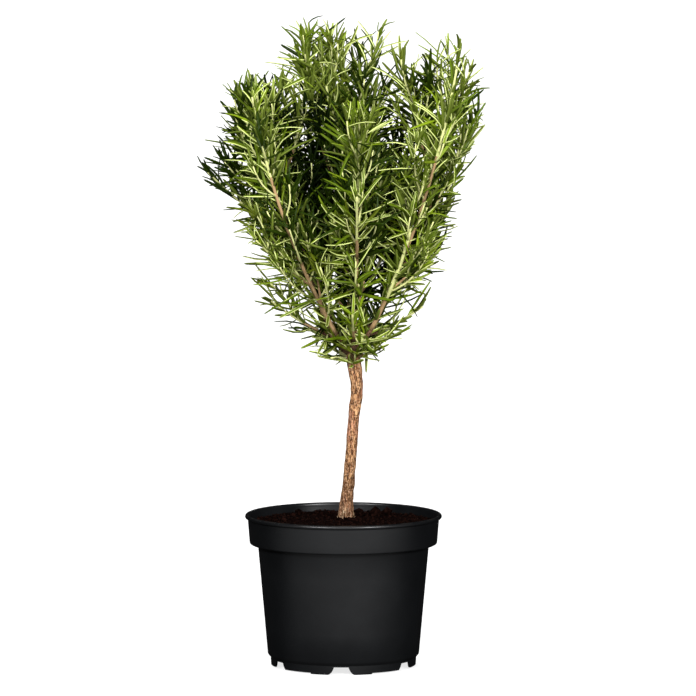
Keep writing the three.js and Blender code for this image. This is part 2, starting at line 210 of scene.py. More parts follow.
def link(name: str, data: Any) -> Piece:
    """Makes an object of a mesh, curve, light or camera and puts it in the scene."""
    piece = bpy.data.objects.new(name, data)
    bpy.context.scene.collection.objects.link(piece)
    return piece


def tube_faces(rings: int, around: int, first: int = 0) -> list[tuple[int, ...]]:
    """The quads between rings of vertices, ring by ring, and then the faces that close both ends."""
    last = first + (rings - 1) * around
    quads = [
        (low + i, low + (i + 1) % around, low + around + (i + 1) % around, low + around + i)
        for low in range(first, last, around)
        for i in range(around)
    ]
    return quads + [tuple(reversed(range(first, first + around))), tuple(range(last, last + around))]


def repeated(faces: Array, count: int, corners: int) -> list[list[int]]:
    """The faces of many things of one form, from those of the first and its number of vertices."""
    return (faces + (np.arange(count) * corners)[:, None, None]).reshape(-1, faces.shape[1]).tolist()


def mesh_from_arrays(name: str, corners: Array, faces: list, looks: Array | None = None) -> Piece:
    """Makes an object of many small things from arrays.

    Args:
        name: the new object's name.
        corners: the vertices, in millimetres.
        faces: lists of vertex numbers.
        looks: the number of each face's material, or None where all have the first.

    Returns:
        The object, shaded smooth.
    """
    mesh = bpy.data.meshes.new(name)
    mesh.from_pydata(corners * MM, [], faces)
    if looks is not None:
        mesh.polygons.foreach_set("material_index", looks.astype(np.int32))
    mesh.shade_smooth()
    return link(name, mesh)


def carry(piece: Piece, slot: str, materials: Sequence[Material], *nodes: str) -> None:
    """Gives a finished piece its materials and hangs it on the frame.

    Args:
        piece: the piece.
        slot: not used.
        materials: its materials, in the order of its faces' numbers.
        nodes: the solids in whose place it is, if any.
    """
    for material in materials:
        piece.data.materials.append(material)
    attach(piece, BODY)
    if nodes:
        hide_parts(*nodes)
    log.info("%s: %d faces", piece.name, len(piece.data.polygons))


# Finishes


class Tree:
    """A node tree, with short ways to add nodes and link them."""

    def __init__(self, tree: bpy.types.NodeTree) -> None:
        """Wraps a node tree."""
        self.tree = tree

    def feed(self, socket: Socket, value: Any) -> None:
        """Links an input to a socket, or sets it to a number, a vector or a colour."""
        if isinstance(value, Socket):
            self.tree.links.new(value, socket)
        else:
            socket.default_value = (*value, 1) if socket.type == "RGBA" else value

    def add(self, kind: str, inputs: dict | None = None, **settings: Any) -> bpy.types.Node:
        """Adds a node.

        Args:
            kind: its type, without the word ShaderNode.
            inputs: values or linked sockets, by the name or number of its input.
            settings: its properties.

        Returns:
            The node.
        """
        kind = kind if kind.startswith("Node") else "ShaderNode" + kind
        node = configured(self.tree.nodes.new(kind), **settings)
        for name, value in (inputs or {}).items():
            self.feed(node.inputs[name], value)
        return node

    def place(self) -> Socket:
        """The coordinates of the object itself."""
        return self.add("TexCoord").outputs["Object"]

    def part(self, vector: Socket, axis: int) -> Socket:
        """One number of a vector."""
        return self.add("SeparateXYZ", {0: vector}).outputs[axis]

    def noise(self, place: Socket, scale: Any, detail: Any) -> Socket:
        """Noise over some coordinates."""
        return self.add("TexNoise", {"Vector": place, "Scale": scale, "Detail": detail}).outputs[0]

    def band(self, value: Socket, low: Any, high: Any) -> Socket:
        """A mask that goes from 0 to 1 as a value goes from one number to another."""
        return self.add("MapRange", {"Value": value, "From Min": low, "From Max": high}).outputs[0]

    def level(self, share: Socket, low: float, high: float) -> Socket:
        """Spreads a mask from 0 to 1 over another range of numbers."""
        return self.add("MapRange", {"Value": share, "To Min": low, "To Max": high}).outputs[0]

    def both(self, one: Socket, other: Socket, operation: str = "MULTIPLY") -> Socket:
        """Multiplies two masks, or adds them."""
        return self.add("Math", {0: one, 1: other}, operation=operation).outputs[0]

    def blend(self, share: Socket, low: Any, high: Any) -> Socket:
        """Mixes two colours, each a socket or a value, by a share."""
        return self.add("Mix", {0: share, 6: low, 7: high}, data_type="RGBA").outputs[2]

    def height(self, value: Socket, depth: float) -> Socket:
        """The normal of a bump whose full height is a depth in millimetres."""
        return self.add("Bump", {"Height": value, "Distance": depth * MM, "Strength": 1.0}).outputs[0]


def new_group(name: str, inputs: dict[str, Any]) -> tuple[Tree, Any, Socket]:
    """Starts a node group that makes one mask.

    Args:
        name: the group's name.
        inputs: the default of each input, a number or a vector.

    Returns:
        Its tree, what is given to it and the socket that takes its mask.
    """
    group = bpy.data.node_groups.new(name, "ShaderNodeTree")
    for label, value in inputs.items():
        kind = "NodeSocketVector" if isinstance(value, tuple) else "NodeSocketFloat"
        group.interface.new_socket(name=label, in_out="INPUT", socket_type=kind).default_value = value
    group.interface.new_socket(name="Mask", in_out="OUTPUT", socket_type="NodeSocketFloat")
    tree = Tree(group)
    return tree, tree.add("NodeGroupInput").outputs, tree.add("NodeGroupOutput").inputs["Mask"]


def streaks_group() -> bpy.types.NodeTree:
    """A mask of noise on object coordinates, stretched along the axes and cut to a band of values."""
    inputs = {"Stretch": (1.0, 1.0, 1.0), "Scale": 100.0, "Detail": 3.0, "From": 0.4, "To": 0.6}
    tree, given, mask = new_group("streaks", inputs)
    laid = tree.add("Mapping", {"Vector": tree.place(), "Scale": given["Stretch"]}).outputs[0]
    noise = tree.noise(laid, given["Scale"], given["Detail"])
    tree.feed(mask, tree.band(noise, given["From"], given["To"]))
    return tree.tree


def settled_group() -> bpy.types.NodeTree:
    """A mask of what settles on faces that look up, broken by noise on object coordinates."""
    tree, given, mask = new_group("settled", {"Amount": 0.5, "Scale": 60.0})
    flat = tree.band(tree.part(tree.add("NewGeometry").outputs["Normal"], 2), 0.3, 0.95)
    broken = tree.band(tree.noise(tree.place(), given["Scale"], 4.0), 0.42, 0.62)
    tree.feed(mask, tree.both(tree.both(flat, broken), given["Amount"]))
    return tree.tree


STREAKS = streaks_group()
SETTLED = settled_group()


class Paint(Tree):
    """A material under way: its tree and the shader at its end."""

    def __init__(self, name: str) -> None:
        """Starts a material with a Principled shader."""
        self.material = bpy.data.materials.new(name)
        self.material.use_nodes = True
        super().__init__(self.material.node_tree)
        self.surface = self.tree.nodes["Principled BSDF"]

    def set(self, **inputs: Any) -> None:
        """Sets or links the shader's inputs, with an underscore for each space in a name."""
        for label, value in inputs.items():
            self.feed(self.surface.inputs[label.replace("_", " ")], value)

    def streaks(self, scale: float, detail: float, low: float, high: float, upright: float = 1) -> Socket:
        """The mask of one streaks group, with its own values."""
        values = {"Stretch": (1, 1, upright), "Scale": scale, "Detail": detail, "From": low, "To": high}
        return self.add("Group", values, node_tree=STREAKS).outputs[0]

    def settled(self, amount: float, scale: float) -> Socket:
        """The mask of one settled group, with its own values."""
        return self.add("Group", {"Amount": amount, "Scale": scale}, node_tree=SETTLED).outputs[0]


@dataclass(frozen=True)
class PlasticFinish:
    """Black moulded plastic, faintly mottled, with a little compost dust where it looks up."""

    name: str = "black_moulded_plastic"
    colour: Colour = (0.0035, 0.0038, 0.0043)
    worn: Colour = (0.0042, 0.0046, 0.0052)
    dust: Colour = (0.018, 0.016, 0.014)
    roughness: Pair = (0.3, 0.34)

    def material(self) -> Material:
        """Makes the material."""
        paint = Paint(self.name)
        mottle = paint.streaks(28, 4, 0.35, 0.68)
        scuffs = paint.level(paint.streaks(130, 5, 0.6, 0.7, 3.5), 0, 0.04)
        scuffed = paint.blend(scuffs, paint.blend(mottle, self.colour, self.worn), self.dust)
        paint.set(Base_Color=paint.blend(paint.settled(0.35, 90), scuffed, self.dust))
        paint.set(Roughness=paint.level(mottle, *self.roughness), Specular_IOR_Level=0.35)
        paint.set(Normal=paint.height(paint.streaks(1400, 2, 0.3, 0.7), 0.02))
        return paint.material


@dataclass(frozen=True)
class CompostFinish:
    """Moist peaty compost, matt and uneven in tone."""

    name: str
    deep: Colour
    pale: Colour

    def material(self) -> Material:
        """Makes the material."""
        paint = Paint(self.name)
        grit = paint.streaks(1500, 3, 0.35, 0.65)
        paint.set(Base_Color=paint.blend(paint.streaks(260, 5, 0.4, 0.66), self.deep, self.pale))
        paint.set(Roughness=paint.level(grit, 0.85, 1.0), Specular_IOR_Level=0.02)
        paint.set(Normal=paint.height(grit, 0.5))
        return paint.material


@dataclass(frozen=True)
class BarkFinish:
    """Bark in flaking upright strips over darker fissures, blushed in places and darker at the foot; the
    fissures' near black is partly painted shade, and some dark patches are painted shade.
    """

    name: str
    pale: Colour
    deep: Colour
    blush: Colour
    fissure: Colour
    fleck: Colour
    foot: Colour | None = None
    foot_from: float = 222
    foot_to: float = 168
    strips: float = 330
    relief: float = 0.5

    def material(self) -> Material:
        """Makes the material."""
        paint = Paint(self.name)
        strips = paint.streaks(self.strips, 4, 0.4, 0.6, 0.4)
        cracks = paint.streaks(1.7 * self.strips, 5, 0.35, 0.44, 0.28)
        patches = (75, 3, 0.47, 0.6, 0.5), 0.8, self.blush
        # Patches of the deep colour, laid at random by noise, are painted shade.
        shade_patches = (120, 4, 0.53, 0.62, 0.4), 0.7, self.deep
        scabs = (2.1 * self.strips, 5, 0.51, 0.57, 0.55), 0.75, self.fissure
        flecks = (3.2 * self.strips, 3, 0.55, 0.66, 0.6), 0.65, self.fleck
        colour = paint.blend(strips, self.deep, self.pale)
        for streaks, share, tone in (patches, shade_patches):
            colour = paint.blend(paint.level(paint.streaks(*streaks), 0, share), colour, tone)
        if self.foot:
            low = paint.band(paint.part(paint.place(), 2), self.foot_from * MM, self.foot_to * MM)
            colour = paint.blend(paint.both(low, paint.level(strips, 0.95, 0.6)), colour, self.foot)
        for streaks, share, tone in (scabs, flecks):
            colour = paint.blend(paint.level(paint.streaks(*streaks), 0, share), colour, tone)
        # The cracks, which the bump below also sinks, take the fissure colour: partly the bark's own darker
        # fissures, partly painted shade in them.
        colour = paint.blend(paint.level(cracks, 0.1, 1), self.fissure, colour)
        paint.set(Base_Color=colour, Roughness=paint.level(strips, 0.9, 0.72), Specular_IOR_Level=0.12)
        paint.set(Normal=paint.height(paint.both(cracks, strips, "ADD"), self.relief))
        return paint.material


@dataclass(frozen=True)
class LeafFinish:
    """The skin of needles or green stems: one plain colour, waxy where it shines."""

    name: str
    colour: Colour
    roughness: Pair = (0.36, 0.52)
    coat: float = 0.1
    gloss: float = 0.16

    def material(self) -> Material:
        """Makes the material."""
        paint = Paint(self.name)
        bloom = paint.level(paint.streaks(220, 2, 0.35, 0.65), *self.roughness)
        paint.set(Base_Color=self.colour, Roughness=bloom, Specular_IOR_Level=self.gloss)
        paint.set(Coat_Weight=self.coat, Coat_Roughness=0.3)
        return paint.material


# The plant's lines


def heading(bearing: float, lean: float) -> Array:
    """The direction that leans from upright by an angle towards a bearing, both in degrees."""
    turn, tilt = math.radians(bearing), math.radians(lean)
    return np.array([math.cos(turn) * math.sin(tilt), math.sin(turn) * math.sin(tilt), math.cos(tilt)])


def unit(vectors: Array) -> Array:
    """Vectors at length one."""
    return vectors / np.maximum(np.linalg.norm(vectors, axis=-1, keepdims=True), 1e-9)


class Course:
    """A line through points, read by shares of its length."""

    def __init__(self, points: Array) -> None:
        """Measures the line through some points."""
        self.points = points
        steps = np.linalg.norm(np.diff(points, axis=0), axis=1)
        self.along = np.concatenate([[0.0], np.cumsum(steps)])
        self.length = float(self.along[-1])

    def at(self, share: Any) -> Array:
        """The point, or points, at some shares of the length."""
        place = np.clip(share, 0, 1) * self.length
        return np.stack([np.interp(place, self.along, self.points[:, axis]) for axis in range(3)], axis=-1)

    def way(self, share: Any, reach: float = 0.04) -> Array:
        """The direction of the line at some shares of its length."""
        share = np.asarray(share, float)
        return unit(self.at(np.minimum(share + reach, 1)) - self.at(np.maximum(share - reach, 0)))

    def marks(self, apart: float = 3.0) -> Array:
        """Shares of its length about some distance apart."""
        return np.linspace(0, 1, max(8, round(self.length / apart)))


def growth(
    start: Array, first: Array, last: Array, length: float, haste: float = 1, steps: int = 14
) -> Course:
    """The line of a growth that starts one way and ends another.

    Args:
        start: where it starts.
        first: its direction there.
        last: its direction at its tip.
        length: its length.
        haste: over 1 bends it mostly early.
        steps: how many straight stretches it has.

    Returns:
        Its course.
    """
    turn = 1 - (1 - (np.arange(steps) + 0.5) / steps) ** haste
    ways = unit(first + (last - first) * turn[:, None])
    return Course(start + np.vstack([np.zeros(3), np.cumsum(ways * length / steps, axis=0)]))


def smooth_through(points: Array, per_span: int) -> Array:
    """Points along a Catmull-Rom curve that passes through some points."""
    padded = np.vstack([2 * points[0] - points[1], points, 2 * points[-1] - points[-2]])
    share = np.linspace(0, 1, per_span, endpoint=False)[:, None]
    spans = []
    for before, start, end, after in zip(padded, padded[1:], padded[2:], padded[3:]):
        linear = end - before
        square = 2 * before - 5 * start + 4 * end - after
        cube = 3 * start - before - 3 * end + after
        spans.append(0.5 * (2 * start + linear * share + square * share**2 + cube * share**3))
    return np.vstack([*spans, points[-1:]])


def turned(side: Array, axis: Array, angle: Any) -> Array:
    """A direction square to an axis, turned about it by an angle in radians."""
    return side * np.cos(angle) + np.cross(axis, side) * np.sin(angle)


def opened(way: Array, angle: float, turn: float) -> Array:
    """A direction that opens from a way by an angle in degrees, turned about it in radians."""
    side = np.cross(UP, way)
    side = unit(side) if np.linalg.norm(side) > 0.01 else np.array([1.0, 0.0, 0.0])
    return way * math.cos(math.radians(angle)) + turned(side, way, turn) * math.sin(math.radians(angle))


def ramp(value: float, start: float, end: float) -> float:
    """How far a value has come from a start to an end, from 0 to 1."""
    return float(np.clip((value - start) / (end - start), 0, 1))


def spiral(span: Pair, count: int, random: Dice, within: Pair, twist: float) -> Iterator[Pair]:
    """Deals out the places of side shoots on a line, each at the golden angle from the last.

    Args:
        span: the shares of the line's length that they lie between.
        count: how many there are.
        random: the mass's random numbers.
        within: how far each may stand in its own step, as shares of that.
        twist: how far each may turn from its angle, in radians.

    Yields:
        The share of the length and the turn about the line of each.
    """
    for i in range(count):
        at = span[0] + (span[1] - span[0]) * (i + random.uniform(*within)) / count
        yield at, GOLDEN_TURN * i + random.uniform(-twist, twist)


@dataclass
class Stem:
    """What grows along a line: where it runs and its radii at even steps."""

    course: Course
    radii: Sequence[float]

    def radius(self, share: Any) -> Array:
        """The radius at some shares of its length."""
        return np.interp(share, np.linspace(0, 1, len(self.radii)), self.radii)


@dataclass
class Limb(Stem):
    """The trunk or a bough."""

    name: str


@dataclass
class Wood:
    """The trunk and the boughs, by the same tables as the solids."""

    clear: float = 0.3
    haste: float = 1.5
    slim: Pair = (1.9, 1.6)
    cut: float = 142.3
    span: int = 6
    trunk: tuple = (
        ((2.1, 0, 138), 7.1), ((2.5, 0, 149), 6), ((3.4, 0, 162), 5.5), ((5.3, -0.6, 182), 5),
        ((8.2, -1, 216), 4.6), ((10.6, -0.6, 246), 4.7), ((12.7, 0, 266), 5.4), ((11.8, 0, 281), 5.6),
        ((9.8, 0, 297), 5.7), ((8.4, 0, 312), 5),
    )
    boughs: tuple = (
        ("bough_centre", "trunk", 1, 190, (2, 6), 22, (3.4, 2.8)),
        ("bough_left", "trunk", 0.94, 181, (66, 22), 44, (3, 2.5)),
        ("bough_right", "trunk", 0.96, 358, (46, 28), 38, (3, 2.5)),
        ("bough_front", "trunk", 0.92, 272, (64, 24), 38, (3, 2)),
        ("bough_back", "trunk", 0.9, 88, (66, 24), 42, (3, 2)),
        ("bough_front_left", "bough_front", 0.26, 216, (60, 36), 30, None),
        ("bough_front_right", "bough_front", 0.42, 322, (60, 36), 30, None),
        ("bough_back_left", "bough_back", 0.42, 142, (62, 36), 32, None),
        ("bough_back_right", "bough_back", 0.24, 40, (60, 36), 32, None),
        ("bough_left_low", "bough_left", 0.62, 192, (72, 66), 12, None),
        ("bough_right_low", "bough_right", 0.5, 2, (74, 68), 12, None),
        ("bough_front_low", "bough_front", 0.7, 268, (72, 66), 11, None),
        ("bough_back_low", "bough_back", 0.66, 92, (72, 66), 12, None),
    )
    limbs: dict[str, Limb] = field(default_factory=dict)

    def __post_init__(self) -> None:
        """Works out every limb."""
        points, radii = zip(*self.trunk)
        fine = smooth_through(np.array(points, float), self.span)
        fine_radii = np.interp(np.arange(len(fine)) / self.span, np.arange(len(radii)), radii)
        course = Course(fine)
        even = np.interp(np.linspace(0, 1, len(fine)), course.along / course.length, fine_radii)
        self.limbs["trunk"] = Limb(course, even, "trunk")
        for name, parent, at, bearing, lean, length, ends in self.boughs:
            first, last = (heading(bearing, angle) for angle in lean)
            course = growth(self.seat(parent, at), first, last, length, self.haste)
            self.limbs[name] = Limb(course, ends or self.slim, name)

    def seat(self, name: str, at: float) -> Array:
        """Where a growth starts on a limb: in its middle, or just off its tip."""
        course = self.limbs[name].course
        point = course.at(at)
        return point if at < 1 else point + self.clear * course.way(1.0)


# Bark


def procedural(name: str, kind: str, size: float, **settings: Any) -> bpy.types.Texture:
    """A texture made by a formula, for a Displace modifier."""
    return configured(bpy.data.textures.new(name, kind), noise_scale=size, **settings)


@dataclass
class Bark:
    """Meshes with the bark's relief, in the place of the trunk and the boughs.

    Each starts as a straight cylinder of radius one, is roughened by stretched noise and then bent and
    thinned along its limb.
    """

    wood: Wood
    sides: int = 56
    bough_sides: int = 24
    ring_height: float = 1.3
    stretch: float = 4.5
    lumps: float = 0.36
    strips: float = 0.14
    grain: float = 0.1
    slim: float = 1.12
    sunk: float = 3.9
    strands: int = 52
    strand_rise: Pair = (1.0, 17.0)
    strand_reach: Pair = (0.1, 3.4)
    strand_width: Pair = (0.2, 0.42)
    strand_girths: tuple[float, ...] = (0.3, 0.9, 1.0, 0.8, 0.5, 0.15)
    strand_depth: float = 0.45
    strand_wander: float = 0.1
    strand_sunk: float = 1.6
    strand_seed: int = 31
    trunk_finish: BarkFinish = BarkFinish(
        "flaking_bark", pale=(0.58, 0.32, 0.15), deep=(0.19, 0.075, 0.03), blush=(0.43, 0.19, 0.115),
        fissure=(0.03, 0.01, 0.003), fleck=(0.66, 0.41, 0.26), foot=(0.075, 0.034, 0.013),
    )
    strand_finish: BarkFinish = BarkFinish(
        "frayed_bark", pale=(0.46, 0.32, 0.19), deep=(0.1, 0.055, 0.026), blush=(0.24, 0.145, 0.08),
        fissure=(0.1, 0.05, 0.025), fleck=(0.85, 0.7, 0.5),
    )
    bough_finish: BarkFinish = BarkFinish(
        "young_bark", pale=(0.25, 0.155, 0.08), deep=(0.13, 0.07, 0.035), blush=(0.2, 0.1, 0.062),
        fissure=(0.04, 0.022, 0.012), fleck=(0.36, 0.23, 0.13), strips=520, relief=0.3,
    )

    def build(self) -> None:
        """Builds the bark of every limb, and the strands at the trunk's foot."""
        textures = [
            (procedural("bark_lumps", "CLOUDS", 0.85), self.lumps),
            (procedural("bark_strips", "VORONOI", 0.42, distance_metric="DISTANCE"), self.strips),
            (procedural("bark_grain", "CLOUDS", 0.16, noise_depth=3), self.grain),
        ]
        trunk = "trunk_bark", self.sides, self.trunk_finish.material()
        bough = "bough_bark", self.bough_sides, self.bough_finish.material()
        for name, limb in self.wood.limbs.items():
            slot, sides, material = trunk if name == "trunk" else bough
            piece = self.wrap(limb, sides, textures)
            if name == "trunk":
                self.cut_foot(piece)
            carry(piece, slot, [material], name)
        self.fray()

    def wrap(self, limb: Limb, sides: int, textures: Sequence) -> Piece:
        """Roughens a cylinder and bends it along a limb.

        Args:
            limb: the limb that it follows.
            sides: how many sides it has.
            textures: textures and their strengths, as shares of the radius.

        Returns:
            The object, in place.
        """
        rings = max(6, round(limb.course.length / self.ring_height))
        drawn = limb.course.length / float(np.mean(limb.radii)) / self.stretch
        form = {"vertices": sides, "radius": 1, "depth": drawn, "end_fill_type": "TRIFAN"}
        piece = add_primitive("bark_" + limb.name, bpy.ops.mesh.primitive_cylinder_add, **form)
        with editing(piece, "EDGE"):
            z = [corner.co.z for corner in piece.data.vertices]
            pick(piece.data.edges, lambda edge: abs(z[edge.vertices[0]] - z[edge.vertices[1]]) > drawn / 2)
            bpy.ops.mesh.subdivide(number_cuts=rings - 1)
        for texture, strength in textures:
            apply_modifier(piece, "DISPLACE", texture=texture, strength=strength, mid_level=0.5)
        piece.location.z = drawn / 2
        settle(piece)
        piece.scale.z = limb.course.length * MM / drawn
        settle(piece)
        self.bend(piece, limb, rings)
        return piece

    def bend(self, piece: Piece, limb: Limb, rings: int) -> None:
        """Bends a straight piece along a limb and thins it to the limb's radius."""
        shares = np.linspace(0, 1, rings)
        line = bpy.data.curves.new(piece.name + "_line", "CURVE")
        configured(line, dimensions="3D", twist_mode="MINIMUM")
        spline = line.splines.new("POLY")
        spline.points.add(rings - 1)
        for point, place, radius in zip(spline.points, limb.course.at(shares), limb.radius(shares)):
            configured(point, co=(*(place * MM), 1), radius=radius * self.slim * MM)
        guide = link(line.name, line)
        bpy.context.view_layer.update()
        apply_modifier(piece, "CURVE", object=guide, deform_axis="POS_Z")
        bpy.data.objects.remove(guide)
        make_active(piece)
        bpy.ops.object.shade_smooth()

    def cut_foot(self, piece: Piece) -> None:
        """Cuts the trunk's foot flat, a little under the compost's surface."""
        with editing(piece, everything=True):
            height = (self.wood.cut - self.sunk) * MM
            plane = {"plane_co": (0, 0, height), "plane_no": (0, 0, 1)}
            bpy.ops.mesh.bisect(**plane, use_fill=True, clear_inner=True)

    def fray(self) -> None:
        """Adds loose strands of bark, which come down the trunk's foot and out over the compost."""
        random = np.random.default_rng(self.strand_seed)
        trunk, cut = self.wood.limbs["trunk"], self.wood.cut
        spans = (0, TURN), self.strand_rise, self.strand_reach, self.strand_width
        turn, rise, reach, width = (random.uniform(*span, (self.strands, 1)) for span in spans)
        steps = np.linspace(0, 1, len(self.strand_girths))
        heights = rise * (1 - steps) - self.strand_sunk * steps
        shares = np.clip((cut + heights - trunk.course.at(0)[2]) / trunk.course.length, 0, 1)
        turns = turn + random.normal(0, self.strand_wander, (self.strands, 1)) * steps
        away = np.stack([np.cos(turns), np.sin(turns), 0 * turns], -1)
        across = np.cross(UP, away)
        middles = trunk.course.at(shares)
        middles[..., 2] = cut + heights
        middles += away * (trunk.radius(shares) * self.slim + reach * steps**2)[..., None]
        girths = (width * np.array(self.strand_girths))[..., None]
        wide, deep = across * girths, away * girths * self.strand_depth
        corners = np.stack([middles + side for side in (wide, deep, -wide, -deep)], 2)
        firsts = range(0, corners.size // 3, 4 * len(steps))
        faces = [face for first in firsts for face in tube_faces(len(steps), 4, first)]
        piece = mesh_from_arrays("bark_strands", corners.reshape(-1, 3), faces)
        face_outwards(piece)
        carry(piece, "trunk_bark", [self.strand_finish.material()])


# Foliage


class Tint(IntEnum):
    """The greens of a needle's upper side, dealt out by spray, and of its margins and underside. The two
    darkest, dealt to sprays inside and behind the head, are painted shade, the deep one partly a real
    deeper green, and the pale margin tint is a painted highlight.

    A side marked OWN has the tint of its spray.
    """

    OWN = -1
    DARK = 0
    DEEP_AND_SHADE = 1
    GREEN = 2
    FRESH = 3
    OLIVE = 4
    MARGIN_HIGHLIGHT = 5
    UNDER = 6


TINTS = {
    # The two darkest greens are painted shade for sprays inside and behind the head; the deep one is partly
    # a real deeper green.
    Tint.DARK: LeafFinish("needle_shade_dark_green", (0.005, 0.011, 0.001), coat=0.0, gloss=0.05),
    Tint.DEEP_AND_SHADE: LeafFinish("needle_deep_green_and_shade", (0.016, 0.032, 0.001), coat=0.03, gloss=0.08),
    Tint.GREEN: LeafFinish("needle_green", (0.079, 0.124, 0.003), gloss=0.12),
    Tint.FRESH: LeafFinish("needle_fresh_green", (0.17, 0.245, 0.007)),
    Tint.OLIVE: LeafFinish("needle_olive_green", (0.1, 0.13, 0.006)),
    # The pale margin colour is a painted highlight along the upper slopes of the needles.
    Tint.MARGIN_HIGHLIGHT: LeafFinish("needle_margin_highlight", (0.62, 0.7, 0.23), (0.32, 0.46), 0.25, 0.3),
    Tint.UNDER: LeafFinish("needle_underside", (0.124, 0.166, 0.02), (0.6, 0.75), 0.0),
}


@dataclass
class Shoot(Stem):
    """A leafy shoot: the tints of its spray, how woody and bare its foot is and how long its needles."""

    tint: Tint
    inner: Tint
    woody: float = 0.0
    bare: float = 0.0
    vigour: float = 1.0


@dataclass
class Needle:
    """The form of one needle leaf: narrow, grooved above, rolled down at the margins and blunt."""

    length: float = 46.0
    width: float = 3.45
    stations: tuple = (0.0, 0.1, 0.38, 0.7, 0.94)
    girths: tuple = (0.5, 0.88, 1.0, 0.9, 0.6)
    section: tuple = ((-1, -0.14), (-0.55, 0.34), (0, 0.14), (0.55, 0.34), (1, -0.14), (0, -0.46))
    # The upper slopes beside the margins take the margin tint, a painted highlight.
    sides: tuple[Tint, ...] = (Tint.MARGIN_HIGHLIGHT, Tint.OWN, Tint.OWN, Tint.MARGIN_HIGHLIGHT, Tint.UNDER, Tint.UNDER)

    def faces(self) -> tuple[Array, Array, Array]:
        """The quads and triangles of one needle, and the side that each, in that order, belongs to."""
        around, rings = len(self.section), len(self.stations)
        quads = [*tube_faces(rings, around)[:-2], (3, 2, 1, 0), (5, 4, 3, 0)]
        tip = rings * around
        tris = [(tip - around + i, tip - around + (i + 1) % around, tip) for i in range(around)]
        looks = [*self.sides * (rings - 1), Tint.OWN, Tint.UNDER, *self.sides]
        return np.array(quads), np.array(tris), np.array(looks)

    def corners(self, roots: Array, ways: Array, tops: Array, grown: Array) -> Array:
        """The vertices of many needles.

        Args:
            roots: where each starts.
            ways: its direction there, of length one.
            tops: the direction that its upper side faces, square to that.
            grown: its length, its width and the share of its length by which its tip bends upwards.

        Returns:
            An array of needles by vertices by three.
        """
        length, width, bend = (grown[:, i, None, None] for i in range(3))
        share = np.array(self.stations + (1.0,))[None, :, None]
        way, top = ways[:, None, :], tops[:, None, :]
        centre = roots[:, None, :] + length * (way * share + top * bend * share**2)
        tangent = unit(way + 2 * bend * share * top)[:, :-1]
        side = unit(np.cross(tangent, np.broadcast_to(top, tangent.shape)))
        across, up = np.array(self.section, float).T[:, :, None]
        girth = 0.5 * width[..., None] * np.array(self.girths)[:, None, None]
        rings = side[:, :, None] * across + np.cross(side, tangent)[:, :, None] * up
        rings = centre[:, :-1, None] + girth * rings
        return np.concatenate([rings.reshape(len(roots), -1, 3), centre[:, -1:]], axis=1)


@dataclass(frozen=True)
class Mass:
    """One mass of shoots, which grows from its own bough's tip or from a share of the trunk's length.

    A leader is told by its bearing, first and last lean and length, and by the share of the first one's
    length where it forks from that.
    """

    name: str
    leaders: tuple
    on_trunk: float = 0.0

    @property
    def limb(self) -> str:
        """The name of the limb that it grows from."""
        return "trunk" if self.on_trunk else "bough_" + self.name


